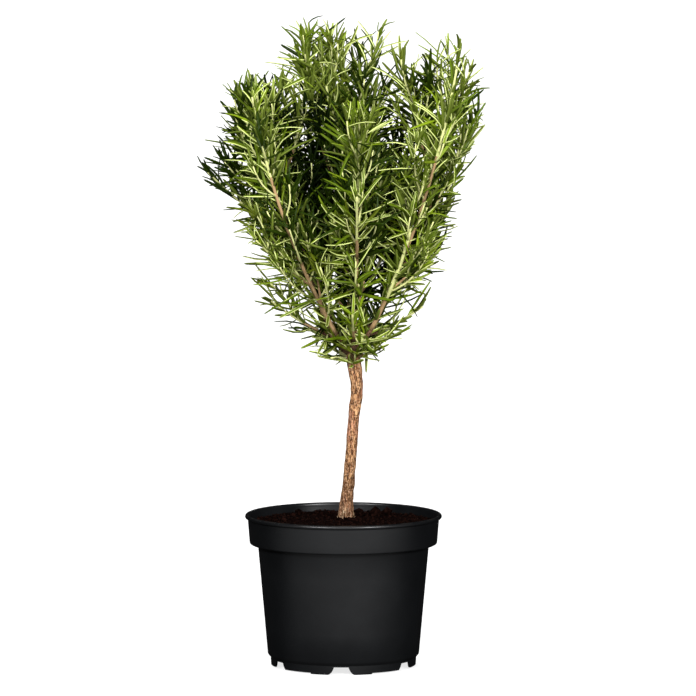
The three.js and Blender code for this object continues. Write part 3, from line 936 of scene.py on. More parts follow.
@dataclass
class Head:
    """The leafy head: every mass of shoots, by the rule of the solids carried to finer twigs."""

    wood: Wood
    needle: Needle = field(default_factory=Needle)
    spacing: float = 16.0
    bough_spacing: float = 15.0
    stretch: Pair = (0.03, 0.9)
    bough_stretch: Pair = (0.15, 0.98)
    fork_stretch: Pair = (0.88, 0.99)
    fork_sprigs: int = 5
    fork_root: float = 1.3
    bough_root: float = 0.85
    leader_girth: Pair = (0.8, 0.0085)
    leader_tip: float = 0.85
    long_leader: float = 100.0
    leader_woody: Pair = (0.3, 0.62)
    twig_open: Pair = (44.0, 4.0)
    twig_length: Pair = (34.0, 88.0)
    twig_radii: Pair = (1.15, 0.7)
    twig_rise: float = 0.25
    twig_loss: float = 0.45
    twig_room: float = 1.2
    sprig_open: Pair = (35.0, 80.0)
    sprig_length: Pair = (14.0, 34.0)
    sprig_radii: Pair = (0.9, 0.6)
    pitch: float = 7.3
    leaf_open: Pair = (59.0, 24.0)
    tuft_open: float = 0.55
    tuft_share: float = 0.7
    tuft_size: Pair = (0.4, 0.8)
    tuft_wobble: float = 0.6
    pair_wobble: float = 0.22
    lean_wobble: float = 11.0
    roll_wobble: float = 0.3
    bend_wobble: float = 0.26
    droop: Pair = (0.22, 0.6)
    swell: tuple = ((0, 0.25, 0.7, 0.92, 1), (0.8, 1.0, 1.0, 0.72, 0.5))
    length_spread: Pair = (0.72, 1.1)
    width_spread: Pair = (0.85, 1.1)
    tested_at: tuple = (0.3, 0.55, 0.8, 1.0)
    inner_share: float = 0.55
    woody_share: float = 0.5
    low_loss: float = 0.3
    lit_margins: float = 0.46
    # Depths and heights by which tint_for deals painted shade behind and inside the head, and lighter tints
    # high up and low down.
    behind: Pair = (0.0, 40.0)
    high_up: Pair = (505.0, 585.0)
    low_down: Pair = (450.0, 360.0)
    near_fork: Pair = (400.0, 290.0)
    shown: tuple = (
        ("front_left", 0, 0.02, 0.8, 0.66),
        ("front_right", 0, 0.02, 0.8, 0.66),
        ("front", 0, 0.25, 0.72, 0.6),
        ("front_right", 1, 0.1, 0.95, 0.0),
    )
    shown_radii: Pair = (2.3, 1.1)
    shown_width: float = 2.6
    shown_share: float = 0.7
    seed: int = 4101
    stem_sides: int = 6
    stem_finishes: tuple = (
        LeafFinish("stem_tan", (0.4, 0.26, 0.13), (0.6, 0.75), 0.0),
        LeafFinish("stem_young", (0.64, 0.66, 0.27), (0.45, 0.6), 0.05),
    )
    masses: tuple = (
        Mass("centre", (
            (180, 4, 4, 274), (205, 44, 6, 138, 0.02), (345, 42, 8, 126, 0.05), (88, 34, 4, 160, 0.12),
            (14, 28, 2, 122, 0.38), (172, 26, -2, 156, 0.44), (352, 7, -1, 222, 0.14),
        )),
        Mass("left", (
            (184, 16, 25, 242), (182, 56, 46, 117, 0.3), (142, 30, 0, 140, 0.36), (222, 40, 8, 104, 0.5),
            (10, 24, 2, 108, 0.56), (188, 44, 12, 104, 0.44),
        )),
        Mass("right", (
            (2, 28, 6, 274), (26, 54, 30, 82, 0.2), (332, 48, 8, 98, 0.38), (8, 40, 34, 38, 0.67),
            (176, 24, 0, 90, 0.54),
        )),
        Mass("front", ((274, 28, 6, 220), (318, 20, 2, 150, 0.08), (270, 54, 34, 90, 0.36))),
        Mass("back", ((98, 28, 6, 226), (66, 20, 2, 182, 0.08), (84, 50, 30, 72, 0.34))),
        Mass("front_left", ((216, 34, 12, 252), (236, 16, 4, 92, 0.12), (200, 58, 44, 72, 0.22))),
        Mass("front_right", ((326, 30, 12, 272), (318, 32, 10, 120, 0.12), (338, 54, 38, 56, 0.16))),
        Mass("back_left", ((142, 36, 14, 200), (108, 14, 0, 170, 0.12), (162, 58, 44, 70, 0.22))),
        Mass("back_right", ((38, 36, 14, 196), (68, 14, 0, 166, 0.16), (18, 58, 44, 66, 0.22))),
        Mass("left_low", ((192, 66, 50, 58),)),
        Mass("right_low", ((0, 68, 54, 50),)),
        Mass("front_low", ((268, 66, 52, 52),)),
        Mass("back_low", ((92, 66, 52, 54),)),
        Mass("fork_left", ((226, 58, 96, 34),), 0.89),
        Mass("fork_right", ((316, 56, 96, 30),), 0.91),
    )
    outline: tuple = (
        (292, 12, 26), (314, 48, 44), (352, 84, 76), (400, 98, 102), (450, 110, 104), (488, 139, 116),
        (530, 114, 130), (562, 108, 138), (585, 74, 120), (612, 66, 104), (627, 40, 40),
    )

    def leaders(self, mass: Mass) -> list[Course]:
        """The lines of a mass's leaders."""
        lines = []
        for bearing, first, last, length, *fork in mass.leaders:
            start = lines[0].at(fork[0]) if fork else self.wood.seat(mass.limb, mass.on_trunk or 1)
            lines.append(growth(start, heading(bearing, first), heading(bearing, last), length))
        return lines

    def is_inside(self, points: Array, slack: float = 0.0) -> Array:
        """Whether points lie in the outline of the head, or within some slack of it."""
        rows = np.array(self.outline, float)
        left, right = (np.interp(points[:, 2], rows[:, 0], rows[:, side]) for side in (1, 2))
        out = np.hypot(points[:, 0], points[:, 1])
        reach = left + (right - left) * (0.5 + points[:, 0] / np.maximum(out, 1e-6) / 2)
        tall = (points[:, 2] > rows[0, 0] - slack) & (points[:, 2] < rows[-1, 0])
        return (out < reach + slack) & tall

    def build(self) -> None:
        """Builds every mass as a piece of needles and a piece of stems."""
        needle_finishes = [finish.material() for finish in TINTS.values()]
        stem_finishes = [finish.material() for finish in self.stem_finishes]
        lines = {mass.name: self.leaders(mass) for mass in self.masses}
        limbs, shown = self.limb_tree(), self.shown_tree(lines)
        total = 0
        for number, mass in enumerate(self.masses):
            others = [line for name, some in lines.items() if name != mass.name for line in some]
            room = Room(self, tree_of(lines[mass.name]), tree_of(others), limbs, shown)
            random = np.random.default_rng(self.seed + number)
            shoots = self.shoots(mass, lines[mass.name], room, random)
            solid = "shoots_" + mass.name
            carry(self.stems("stems_" + mass.name, shoots), "foliage", stem_finishes, solid)
            leaves, count = self.leaves("needles_" + mass.name, shoots, room, random)
            carry(leaves, "foliage", needle_finishes, solid)
            total += count
        log.info("%d needles", total)

    def limb_tree(self) -> tuple[KDTree, Array]:
        """A search tree of places along every limb, and the limbs' radii there."""
        limbs = self.wood.limbs.values()
        radii = np.concatenate([limb.radius(limb.course.marks()) for limb in limbs])
        return tree_of([limb.course for limb in limbs]), radii

    def shown_tree(self, lines: dict[str, list[Course]]) -> tuple[KDTree, Array]:
        """A search tree of the stems that show from the front, laid flat, and their depths."""
        spans = [(lines[name][number], low, high) for name, number, low, high, _ in self.shown]
        places = np.vstack([line.at(np.linspace(low, high, 90)) for line, low, high in spans])
        return tree_through(from_front(places)), places[:, 1]

    def shoots(self, mass: Mass, lines: list[Course], room: "Room", random: Dice) -> list[Shoot]:
        """The leaders of a mass, the twigs that leave them and the sprigs on its bough."""
        limb = self.wood.limbs[mass.limb]
        root = self.fork_root if mass.on_trunk else self.bough_root * float(limb.radii[-1])
        shoots = []
        for number, line in enumerate(lines):
            slim, swell = self.leader_girth
            thick = min(root, slim + swell * line.length) if number else root
            woody = self.leader_woody[number == 0 and line.length > self.long_leader]
            # A leader's tip and inner part are each dealt a tint by place, so its inner needles can take
            # painted shade.
            tints = self.tint_for(line.at(0.9), random), self.tint_for(line.at(0.4), random)
            leader = Shoot(line, (thick, self.leader_tip), *tints, woody, bare=0.04)
            for name, shown, *_, brown in self.shown:
                if (name, shown) == (mass.name, number):
                    leader.radii, leader.woody = self.shown_radii, brown
            shoots.append(leader)
            count = max(1, round(line.length / self.spacing))
            for at, turn in spiral(self.stretch, count, random, (0.2, 0.8), 0.5):
                first, last = (opened(line.way(at), angle, turn) for angle in self.twig_open)
                length = random.uniform(*self.twig_length) * (1 - self.twig_loss * at)
                rise = unit(last + self.twig_rise * UP)
                course = growth(line.at(at), first, rise, length, steps=8)
                if room.is_free(course.at(np.linspace(0.25, 1, 6)), self.twig_room):
                    tint = self.tint_for(course.at(0.8), random)
                    shoots.append(Shoot(course, self.twig_radii, tint, tint, bare=0.1, vigour=0.9))
        return shoots + self.sprigs(mass, limb, random)

    def sprigs(self, mass: Mass, limb: Limb, random: Dice) -> list[Shoot]:
        """The short leafy sprigs on a mass's own bough, or on the trunk's last stretch at the fork."""
        span, number = self.bough_stretch, max(2, round(limb.course.length / self.bough_spacing))
        if mass.on_trunk:
            span, number = self.fork_stretch, self.fork_sprigs
        sprigs = []
        for at, turn in spiral(span, number, random, (0.1, 0.9), 0.4):
            angles = self.sprig_open[1], random.uniform(*self.sprig_open)
            first, last = (opened(limb.course.way(at), angle, turn) for angle in angles)
            start = limb.course.at(at) + first * float(limb.radius(at)) * 0.7
            course = growth(start, first, last, random.uniform(*self.sprig_length), steps=6)
            tint = self.tint_for(course.at(1.0), random)
            sprigs.append(Shoot(course, self.sprig_radii, tint, tint, bare=0.05, vigour=0.95))
        return sprigs

    def tint_for(self, tip: Array, random: Dice) -> Tint:
        """Deals a spray its tint by where it ends. The dark and deep tints, dealt inside and behind the
        head, are painted shade. The fresher tints high up and far out are partly young growth and partly
        painted light. Low down a spray takes fewer dark tints and more olive and fresh ones.
        """
        rows = np.array(self.outline, float)
        reach = np.interp(tip[2], rows[:, 0], (rows[:, 1] + rows[:, 2]) / 2)
        # Sprays behind the axis count as further in, so the back takes more painted shade; lightness rises
        # far out and high up, partly as painted light.
        out = min(1.0, math.hypot(tip[0], tip[1]) / reach) - 0.25 * ramp(tip[1], *self.behind)
        fresh = max(0.85 * out, 0.9 * ramp(tip[2], *self.high_up))
        low = ramp(tip[2], *self.low_down)
        # Weights of the dark, deep, green, fresh and olive tints: the first two are painted shade, and the
        # fresh one is partly painted light.
        weights = np.array([
            max(0.0, 2.8 - 5.2 * fresh) * (1 - low),
            (1.3 - 1.25 * fresh) * (1 - 0.55 * low),
            0.42,
            0.02 + 0.36 * fresh + 0.16 * low,
            0.06 + 0.14 * fresh + 0.3 * low,
        ])
        return Tint(int(random.choice(len(weights), p=weights / weights.sum())))

    def stems(self, name: str, shoots: Sequence[Shoot]) -> Piece:
        """One mesh of the stems of some shoots, tan where they are woody and green beyond."""
        rings, faces, looks = [], [], []
        turns = TURN * np.arange(self.stem_sides)[:, None] / self.stem_sides
        for shoot in shoots:
            shares = np.linspace(0, 1, max(5, round(shoot.course.length / 6)))
            faces += tube_faces(len(shares), self.stem_sides, len(rings) * self.stem_sides)
            looks += [int(share >= shoot.woody) for share in shares[:-1] for _ in turns]
            looks += [int(not shoot.woody), 1]
            ways = shoot.course.way(shares)
            side = unit(np.cross(ways[0], [0.3, 0.5, 0.1]))
            for place, way, radius in zip(shoot.course.at(shares), ways, shoot.radius(shares)):
                side = unit(side - way * side.dot(way))
                rings.append(place + turned(side, way, turns) * radius)
        return mesh_from_arrays(name, np.vstack(rings), faces, np.array(looks))

    def leaves(self, name: str, shoots: Sequence[Shoot], room: "Room", random: Dice) -> tuple[Piece, int]:
        """One mesh of the needles of some shoots, and their number."""
        rows = [self.along(shoot, random) for shoot in shoots]
        roots, ways, tops, grown, tints = (np.concatenate(parts) for parts in zip(*rows))
        shares = np.array(self.tested_at)[:, None, None]
        lets = random.random(len(roots)) > self.shown_share
        paths = roots + grown[:, :1] * (ways * shares + grown[:, 2:3] * tops * shares**2)
        keep = room.fits(paths, lets)
        corners = self.needle.corners(roots[keep], ways[keep], tops[keep], grown[keep])
        count, per_needle = corners.shape[:2]
        quads, tris, sides = self.needle.faces()
        own = tints[keep][:, None]
        # A share of the needles on sprays lighter than the deep tint show the margin's painted highlight;
        # on dark and deep sprays, margins and undersides take the spray's painted shade.
        lit = (random.random((count, 1)) < self.lit_margins) & (own > Tint.DEEP_AND_SHADE)
        plain = (sides == Tint.MARGIN_HIGHLIGHT) & ~lit | (sides == Tint.UNDER) & (own <= Tint.DEEP_AND_SHADE)
        looks = np.where(plain | (sides == Tint.OWN), own, sides)
        looks = np.concatenate([part.ravel() for part in np.split(looks, [len(quads)], axis=1)])
        faces = repeated(quads, count, per_needle) + repeated(tris, count, per_needle)
        return mesh_from_arrays(name, corners.reshape(-1, 3), faces, looks), count

    def along(self, shoot: Shoot, random: Dice) -> tuple:
        """The needles of one shoot: opposite pairs, each pair turned square to the last.

        Args:
            shoot: the shoot that bears them.
            random: the mass's random numbers.

        Returns:
            Arrays of their roots, ways, tops, sizes and tints.
        """
        nodes = max(3, round(shoot.course.length * (1 - shoot.bare) / self.pitch))
        share = np.repeat(np.linspace(shoot.bare, 1, nodes), 4)
        turn = np.repeat(np.arange(nodes) * math.pi / 2, 4) + np.tile([0, math.pi, 0, math.pi], nodes)
        small = np.tile([False, False, True, True], nodes)
        grows = ~small | (random.random(len(share)) < self.tuft_share)
        grows &= (share > shoot.woody) | (random.random(len(share)) < self.woody_share)
        low = ramp(shoot.course.at(0.5)[2], *self.near_fork)
        grows &= random.random(len(share)) > self.low_loss * low
        share, turn, small = share[grows], turn[grows], small[grows]
        count = len(share)
        share = np.clip(share + random.uniform(-0.2, 0.2, count) / nodes, 0, 1)
        turn = turn + random.normal(0, self.pair_wobble, count)
        turn = turn + small * random.normal(0, self.tuft_wobble, count) + random.uniform(0, TURN)
        along = shoot.course.way(share)
        side = unit(np.cross(along, (0.21, 0.37, 0.11)))
        out = turned(side, along, turn[:, None])
        angle = self.leaf_open[0] + (self.leaf_open[1] - self.leaf_open[0]) * share**2.2
        angle = np.where(small, angle * self.tuft_open, angle)
        angle = np.radians(angle + random.normal(0, self.lean_wobble, count))[:, None]
        way = along * np.cos(angle) + out * np.sin(angle)
        sag = (self.droop[0] + self.droop[1] * low) * np.clip(1.15 - share, 0, 1)[:, None]
        way = unit(way - sag * random.uniform(0, 1, (count, 1)) * UP)
        top = unit(along - way * np.sum(along * way, axis=1, keepdims=True))
        top = unit(turned(top, way, random.normal(0, self.roll_wobble, (count, 1))))
        swell = np.interp(share, *self.swell)
        swell = np.where(small, swell * random.uniform(*self.tuft_size, count), swell)
        length = self.needle.length * shoot.vigour * swell * random.uniform(*self.length_spread, count)
        width = self.needle.width * random.uniform(*self.width_spread, count)
        width = width * np.interp(share, [0.8, 1], [1, 0.8])
        bend = 0.1 - 0.34 * share**2 + random.normal(0, self.bend_wobble, count)
        roots = shoot.course.at(share) + out * (shoot.radius(share) * 0.6)[:, None]
        tints = np.where(share < self.inner_share, shoot.inner, shoot.tint)
        return roots, way, top, np.stack([length, width, bend], axis=1), tints


def from_front(points: Array) -> Array:
    """Points laid flat as the front shows them, from a little above."""
    return points * (1, 0, 1) + points[..., 1:2] * (0, 0, LOOK_DOWN)


def tree_through(points: Array) -> KDTree:
    """A search tree of some points."""
    tree = KDTree(len(points))
    for i, point in enumerate(points):
        tree.insert(point, i)
    tree.balance()
    return tree


def tree_of(lines: Sequence[Course]) -> KDTree:
    """A search tree of places along some lines."""
    return tree_through(np.vstack([line.at(line.marks()) for line in lines]))


@dataclass
class Room:
    """What a mass has room for: in the outline, in its own space and clear of every limb."""

    head: Head
    own: KDTree
    others: KDTree
    limbs: tuple[KDTree, Array]
    shown: tuple[KDTree, Array]
    spare: float = 0.5
    needle_room: float = 0.5
    fringe: float = 11.0

    def is_clear(self, point: Array, radius: float) -> bool:
        """Whether a round thing about a point keeps off every limb."""
        tree, radii = self.limbs
        _, number, distance = tree.find(point)
        return distance > radii[number] + radius + self.spare

    def is_own(self, point: Array) -> bool:
        """Whether a point is nearer to the leaders of the mass than to any other's."""
        return self.own.find(point)[2] < self.others.find(point)[2]

    def is_free(self, points: Array, radius: float) -> bool:
        """Whether a twig that runs through some points has room."""
        if not self.head.is_inside(points).all():
            return False
        return all(self.is_own(point) and self.is_clear(point, radius) for point in points[1:])

    def hides(self, point: Array) -> bool:
        """Whether a point stands in front of a stem that shows."""
        tree, depths = self.shown
        _, number, distance = tree.find(from_front(point))
        return distance < self.head.shown_width and point[1] < depths[number]

    def fits(self, stations: Array, lets: Array) -> Array:
        """Whether needles have room.

        Args:
            stations: places along each of them, the last its tip.
            lets: whether each may stand in front of a stem that shows.

        Returns:
            An array of truths.
        """
        fits = self.head.is_inside(stations[-1], self.fringe)
        for i in np.nonzero(fits)[0]:
            clear = all(self.is_clear(stations[part, i], self.needle_room) for part in (1, -1))
            fits[i] = clear and (lets[i] or not any(self.hides(point) for point in stations[:, i]))
        return fits


# Pot and compost


@dataclass
class Pot:
    """The nursery pot: a tapering body under a wider collar and a rolled lip, on a gapped foot ring."""

    height: float = 147
    lip_radius: float = 95
    lip_roll: float = 2.1
    collar_top_radius: float = 92.4
    collar_foot_radius: float = 90.6
    collar_foot: float = 118.5
    collar_round: float = 1.7
    body_top_radius: float = 82.6
    body_foot_radius: float = 73.1
    body_foot: float = 11.7
    foot_top_radius: float = 70.4
    foot_radius: float = 69.9
    foot_top: float = 9.3
    foot_wall: float = 2
    wall: float = 1.5
    floor_under: float = 9
    floor_top: float = 11
    sides: int = 192
    gaps: int = 6
    gap_bearing: float = 268.3
    gap_top: float = 7.5
    gap_half_top: float = 7
    gap_half_foot: float = 13
    gap_flare: float = 2
    gap_depth: float = 16
    gap_steps: int = 6
    pad_from: float = 25
    pad_rise: float = 1.3
    relief_span: Pair = (0.5, 1.15)
    drain_radius: float = 5.5
    drain_at: float = 58
    beyond: float = 1.0
    finish: PlasticFinish = PlasticFinish()

    def profile(self) -> list[Pair]:
        """The pot's section, from the underside of its floor round the outside to the floor within."""
        wall, roll, curve = self.wall, self.lip_roll, self.collar_round
        ring, ring_wall, ring_top = self.foot_radius, self.foot_wall, self.foot_top_radius
        foot, body, under = self.body_foot_radius, self.body_top_radius, self.collar_foot
        collar, collar_top = self.collar_foot_radius, self.collar_top_radius
        lip = self.lip_radius - roll, self.height - roll
        return [
            (ring_top - ring_wall, self.floor_under),
            (ring - ring_wall, 0.5),
            (ring - ring_wall + 0.5, 0),
            (ring - 0.5, 0),
            (ring, 0.5),
            (ring_top, self.foot_top - 0.6),
            (ring_top + 0.6, self.foot_top),
            (foot - 0.6, self.body_foot - 0.6),
            *self.climb((foot, self.body_foot + 0.4), (body, under - 1)),
            (body + 0.25, under - 0.3),
            (body + 1, under),
            (collar - curve, under),
            *arc((collar - curve, under + curve), curve, (285, 360), 5),
            *self.climb((collar, under + curve), (collar_top, lip[1] - roll))[1:],
            *arc(lip, roll, (-75, 165), 14),
            (lip[0] - roll + 0.1, lip[1] - 1),
            (collar_top - wall, lip[1] - roll),
            (collar - wall, under + wall + 1),
            (collar - wall - 1, under + wall),
            (body - wall, under + wall),
            (foot - wall, self.floor_top),
        ]

    def climb(self, foot: Pair, head: Pair, steps: int = 4) -> list[Pair]:
        """Even points on a straight side."""
        return [tuple(a + (b - a) * i / steps for a, b in zip(foot, head)) for i in range(steps + 1)]

    def raise_block(self, name: str, span: Pair, rows: Sequence[Pair]) -> Piece:
        """Raises a cutter from a rectangle, row by row.

        Args:
            name: the new object's name.
            span: the rectangle's lowest and highest X.
            rows: the half width along Y and the height of each row.

        Returns:
            The object, with its faces outwards.
        """
        piece = add_primitive(name, bpy.ops.mesh.primitive_plane_add, size=1)
        low, high = span
        half, height = rows[0]
        with editing(piece, "FACE", everything=True):
            bpy.ops.transform.resize(value=((high - low) * MM, 2 * half * MM, 1))
            bpy.ops.transform.translate(value=((low + high) / 2 * MM, 0, height * MM))
            for (below, foot), (above, top) in pairwise(rows):
                bpy.ops.mesh.extrude_region_move()
                bpy.ops.transform.translate(value=(0, 0, (top - foot) * MM))
                bpy.ops.transform.resize(value=(1, above / below, 1), center_override=(0, 0, 0))
        face_outwards(piece)
        return piece

    def gap_block(self) -> Piece:
        """What cuts one arched gap in the foot ring, flared where it meets the ground."""
        reach = self.foot_radius + self.gap_depth / 2
        rows = [(self.gap_half_foot, -self.beyond)]
        for share in np.linspace(0, 1, self.gap_steps + 1):
            a, b, c = (1 - share) ** 2, 2 * share * (1 - share), share**2
            half = a * self.gap_half_foot + b * (self.gap_half_top + self.gap_flare) + c * self.gap_half_top
            rows.append((half, b * self.gap_flare / 2 + c * self.gap_top - a * 0.02))
        return self.raise_block("gap", (reach - self.gap_depth, reach), rows)

    def drain_plug(self) -> Piece:
        """What cuts one drain hole in the floor."""
        depth = self.floor_top - self.floor_under + 2 * self.beyond
        middle = self.drain_at * MM, 0, (self.floor_top + self.floor_under) / 2 * MM
        form = {"vertices": 24, "radius": self.drain_radius * MM, "depth": depth * MM}
        drain = add_primitive("drain", bpy.ops.mesh.primitive_cylinder_add, location=middle, **form)
        settle(drain)
        return drain

    def cut(self, pot: Piece, make: Callable[[], Piece], bearings: Sequence[float]) -> None:
        """Cuts copies of one shape, made on the X axis, from the pot at some bearings."""
        cutters = []
        for bearing in bearings:
            cutters.append(make())
            cutters[-1].rotation_euler.z = math.radians(bearing)
            settle(cutters[-1])
        cutter = join(cutters)
        apply_modifier(pot, "BOOLEAN", object=cutter, operation="DIFFERENCE", solver="EXACT")
        bpy.data.objects.remove(cutter)

    def relief_block(self) -> Piece:
        """What lifts the foot ring off the ground between two pairs of pads."""
        half = math.radians(360 / self.gaps - self.pad_from)
        inner, outer = (share * self.foot_radius for share in self.relief_span)
        rows = [(inner * math.tan(half), -self.beyond), (inner * math.tan(half), self.pad_rise)]
        piece = self.raise_block("relief", (inner, outer), rows)
        with editing(piece):
            pick(piece.data.vertices, lambda corner: corner.co.x > (inner + outer) / 2 * MM)
            bpy.ops.transform.resize(value=(1, outer / inner, 1), center_override=(outer * MM, 0, 0))
        return piece

    def build(self) -> None:
        """Turns the pot, cuts its gaps and drains and finishes it."""
        pot = turn_profile("nursery_pot", self.profile(), self.sides)
        bearings = [self.gap_bearing + 360 / self.gaps * i for i in range(self.gaps)]
        self.cut(pot, self.drain_plug, bearings)
        self.cut(pot, self.gap_block, bearings)
        self.cut(pot, self.relief_block, bearings[1::2])
        shade_by_angle(pot, 32)
        carry(pot, "pot_plastic", [self.finish.material()], "pot")

    def inside(self, height: float) -> float:
        """The radius of the collar's inner wall at a height."""
        low, high = self.collar_foot + self.wall, self.height - 2 * self.lip_roll
        radii = self.collar_foot_radius - self.wall, self.collar_top_radius - self.wall
        return float(np.interp(height, (low, high), radii))


@dataclass
class Compost:
    """The plug of compost: lumpy on top, mounded to the trunk, with crumbs and clods lying on it."""

    pot: Pot
    edge: float = 138.3
    centre: float = 142.0
    clear: float = 0.3
    rings: int = 44
    sides: int = 160
    lumps: float = 4.2
    grain: float = 2.0
    crumbs: int = 2600
    foot_crumbs: int = 90
    crumb_sizes: Pair = (0.35, 1.7)
    foot_sizes: Pair = (0.6, 2.4)
    clods: tuple = ((31, 30, 8), (23, 20, 5), (42, 42, 5.5), (-44, 44, 5), (15, 44, 6), (-58, -10, 3.6))
    trunk_at: Pair = (2.3, 0.0)
    trunk_radius: float = 7.2
    seed: int = 77
    finish: CompostFinish = CompostFinish(
        "moist_compost", deep=(0.0014, 0.0004, 0.0003), pale=(0.0042, 0.0013, 0.0009)
    )
    crumb_finish: CompostFinish = CompostFinish(
        "compost_crumbs", deep=(0.0016, 0.0005, 0.0003), pale=(0.013, 0.0045, 0.003)
    )

    def build(self) -> None:
        """Builds the plug and what lies on it."""
        plug = self.plug()
        crumbs = self.scatter(plug)
        carry(plug, "compost", [self.finish.material()], "compost")
        carry(crumbs, "compost", [self.crumb_finish.material()])

    def plug(self) -> Piece:
        """Turns the plug and roughens its top."""
        pot, clear = self.pot, self.clear
        foot = pot.body_foot_radius - pot.wall - clear
        rim = pot.inside(self.edge) - clear
        side = [
            (foot, pot.floor_top + clear),
            (pot.body_top_radius - pot.wall - clear, pot.collar_foot + pot.wall + clear),
            (pot.collar_foot_radius - pot.wall - clear, pot.collar_foot + pot.wall + clear),
            (rim, self.edge - 4),
        ]
        out = np.linspace(1, 0.01, self.rings)
        top = [(rim * share, self.edge + (self.centre - self.edge) * (1 - share**2)) for share in out]
        plug = turn_profile("compost_plug", side + top, self.sides)
        surface = plug.vertex_groups.new(name="surface")
        for corner in plug.data.vertices:
            out = math.hypot(corner.co.x, corner.co.y) / MM
            if corner.co.z > (self.edge - 1) * MM and out < rim - 1:
                surface.add([corner.index], min(1, (rim - out) / 6), "REPLACE")
        for name, size, depth in (("compost_lumps", 9, self.lumps), ("compost_grain", 2.6, self.grain)):
            texture = procedural(name, "CLOUDS", size * MM, noise_depth=2)
            upwards = {"direction": "Z", "vertex_group": "surface", "mid_level": 0.45}
            apply_modifier(plug, "DISPLACE", texture=texture, strength=depth * MM, **upwards)
        shade_by_angle(plug, 60)
        return plug

    def spots(self, random: Dice) -> list[Point]:
        """Where the clods and crumbs lie, clear of the trunk, and how large each is."""
        spots = list(self.clods)
        x, y = self.trunk_at
        for _ in range(self.foot_crumbs):
            out, turn = self.trunk_radius + random.uniform(0.5, 5), random.uniform(0, TURN)
            size = random.uniform(*self.foot_sizes)
            spots.append((x + out * math.cos(turn), y + out * math.sin(turn), size))
        reach = self.pot.inside(self.edge) - 2
        low, high = self.crumb_sizes
        for _ in range(self.crumbs):
            out, turn = reach * math.sqrt(random.random()), random.uniform(0, TURN)
            size = low + (high - low) * random.random() ** 3
            spots.append((out * math.cos(turn), out * math.sin(turn), size))
        clear = self.trunk_radius
        return [spot for spot in spots if math.hypot(spot[0] - x, spot[1] - y) >= clear + 0.2 * spot[2]]

    def scatter(self, plug: Piece) -> Piece:
        """Lays crumbs and clods on the plug, as one mesh."""
        random = np.random.default_rng(self.seed)
        model = add_primitive("crumb", bpy.ops.mesh.primitive_ico_sphere_add, subdivisions=1, radius=1)
        shape = np.array([corner.co[:] for corner in model.data.vertices])
        faces = np.array([face.vertices[:] for face in model.data.polygons])
        bpy.data.objects.remove(model)
        corners = []
        for x, y, size in self.spots(random):
            hit, place, _, _ = plug.ray_cast((x * MM, y * MM, 0.2), (0, 0, -1))
            if hit:
                rough = shape * random.uniform(0.7, 1.25, (len(shape), 1)) * size
                rough *= 1.0, random.uniform(0.6, 1), 0.8
                spun = turned(rough * (1, 1, 0), UP, random.uniform(0, TURN)) + rough * UP
                corners.append(spun + np.array(place) / MM + (0, 0, 0.35 * size))
        faces = repeated(faces, len(corners), len(shape))
        piece = mesh_from_arrays("compost_crumbs", np.vstack(corners), faces)
        shade_by_angle(piece, 50)
        return piece


# Studio


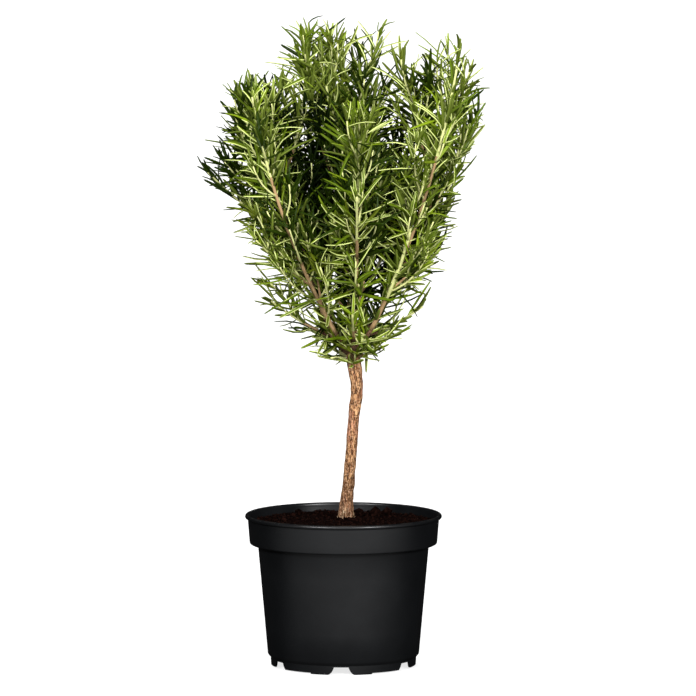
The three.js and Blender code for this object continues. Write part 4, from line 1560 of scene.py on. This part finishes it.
@dataclass
class Studio:
    """The pale floor, the soft lights and the camera at the photograph's place."""

    floor_size: float = 40.0
    floor_colour: Colour = (0.32, 0.32, 0.32)
    floor_bounce: Colour = (0.006, 0.006, 0.006)
    floor_white: Colour = (0.76, 0.76, 0.76)
    floor_sheen: Colour = (0.7, 0.7, 0.7)
    camera_at: Point = (0.0044, -7.0, 1.025)
    aim: Point = (0.0044, 0.0, 0.3078)
    lens: float = 378.1
    sensor: float = 36.0
    suns: tuple = (
        ("left_sun", (0.6, 1.0, -0.6), 3.0, 14.0, True),
        ("right_sun", (-0.66, 1.0, -0.5), 3.3, 14.0, True),
        ("top_sun", (0.0, 0.45, -1.0), 0.8, 30.0, True),
        ("back_sun", (0.3, -0.75, -0.75), 3.2, 50.0, False),
    )
    panel_at: Point = (0.35, -2.0, 0.5)
    panel_aim: Point = (0.0, 0.0, 0.2)
    panel_size: Pair = (3.0, 0.5)
    panel_power: float = 23.0
    sky: float = 0.004

    def build(self) -> None:
        """Sets the whole studio."""
        self.lay_floor()
        self.hang_suns()
        self.hang_panel()
        self.light_world()
        self.place_camera()

    def lay_floor(self) -> None:
        """Lays the floor that the pot stands on, white to the camera and dim to what it reflects, but for a
        glow in front that only reflections see, a painted reflection that gives the pot its sheen.
        """
        floor = add_primitive("studio_floor", bpy.ops.mesh.primitive_plane_add, size=self.floor_size)
        paint = Paint("pale_floor")
        rays = paint.add("LightPath").outputs
        # The floor in front glows to glossy rays alone: a painted reflection that puts a sheen on the pot.
        front = paint.band(paint.part(paint.place(), 1), -0.03, -0.5)
        glow = paint.blend(paint.both(front, rays["Is Glossy Ray"]), (0, 0, 0), self.floor_sheen)
        glow = paint.blend(rays["Is Camera Ray"], glow, self.floor_white)
        colour = paint.blend(rays["Is Camera Ray"], self.floor_bounce, self.floor_colour)
        paint.set(Base_Color=colour, Roughness=1.0, Specular_IOR_Level=0.0)
        paint.set(Emission_Color=glow, Emission_Strength=1.0)
        floor.data.materials.append(paint.material)

    def aimed(self, name: str, data: Any, at: Point, aim: Point) -> Piece:
        """Places a light or a camera and turns it to look at a point."""
        turn = (Vector(aim) - Vector(at)).to_track_quat("-Z", "Y").to_euler()
        return configured(link(name, data), location=at, rotation_euler=turn)

    def hang_suns(self) -> None:
        """Adds the soft suns, which light the plant from its sides and the floor evenly."""
        for name, way, strength, angle, is_mirrored in self.suns:
            light = bpy.data.lights.new(name, "SUN")
            configured(light, energy=strength, angle=math.radians(angle))
            self.aimed(name, light, (0, 0, 0), way).visible_glossy = is_mirrored

    def hang_panel(self) -> None:
        """Hangs a wide soft panel in front, for the sheen on the pot's inner wall and lip."""
        light = bpy.data.lights.new("front_panel", "AREA")
        wide, high = self.panel_size
        configured(light, shape="RECTANGLE", size=wide, size_y=high, energy=self.panel_power)
        self.aimed("front_panel", light, self.panel_at, self.panel_aim)

    def light_world(self) -> None:
        """Lights the world an even white."""
        world = bpy.data.worlds.new("studio_world")
        bpy.context.scene.world = world
        world.use_nodes = True
        backdrop = world.node_tree.nodes["Background"]
        backdrop.inputs["Color"].default_value = (1, 1, 1, 1)
        backdrop.inputs["Strength"].default_value = self.sky

    def place_camera(self) -> None:
        """Places the camera and sets how its picture is shown."""
        lens = bpy.data.cameras.new("studio_camera")
        configured(lens, lens=self.lens, sensor_width=self.sensor, clip_end=100)
        scene = bpy.context.scene
        scene.camera = self.aimed("studio_camera", lens, self.camera_at, self.aim)
        configured(scene.view_settings, view_transform="Standard", look="None")


def main() -> None:
    """Builds the studio, the pot, the compost, the bark and the foliage, in that order."""
    logging.basicConfig(level=logging.INFO, format="%(name)s: %(message)s")
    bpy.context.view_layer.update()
    Studio().build()
    pot = Pot()
    pot.build()
    Compost(pot).build()
    wood = Wood()
    Bark(wood).build()
    Head(wood).build()


if __name__ == "__main__":
    main()
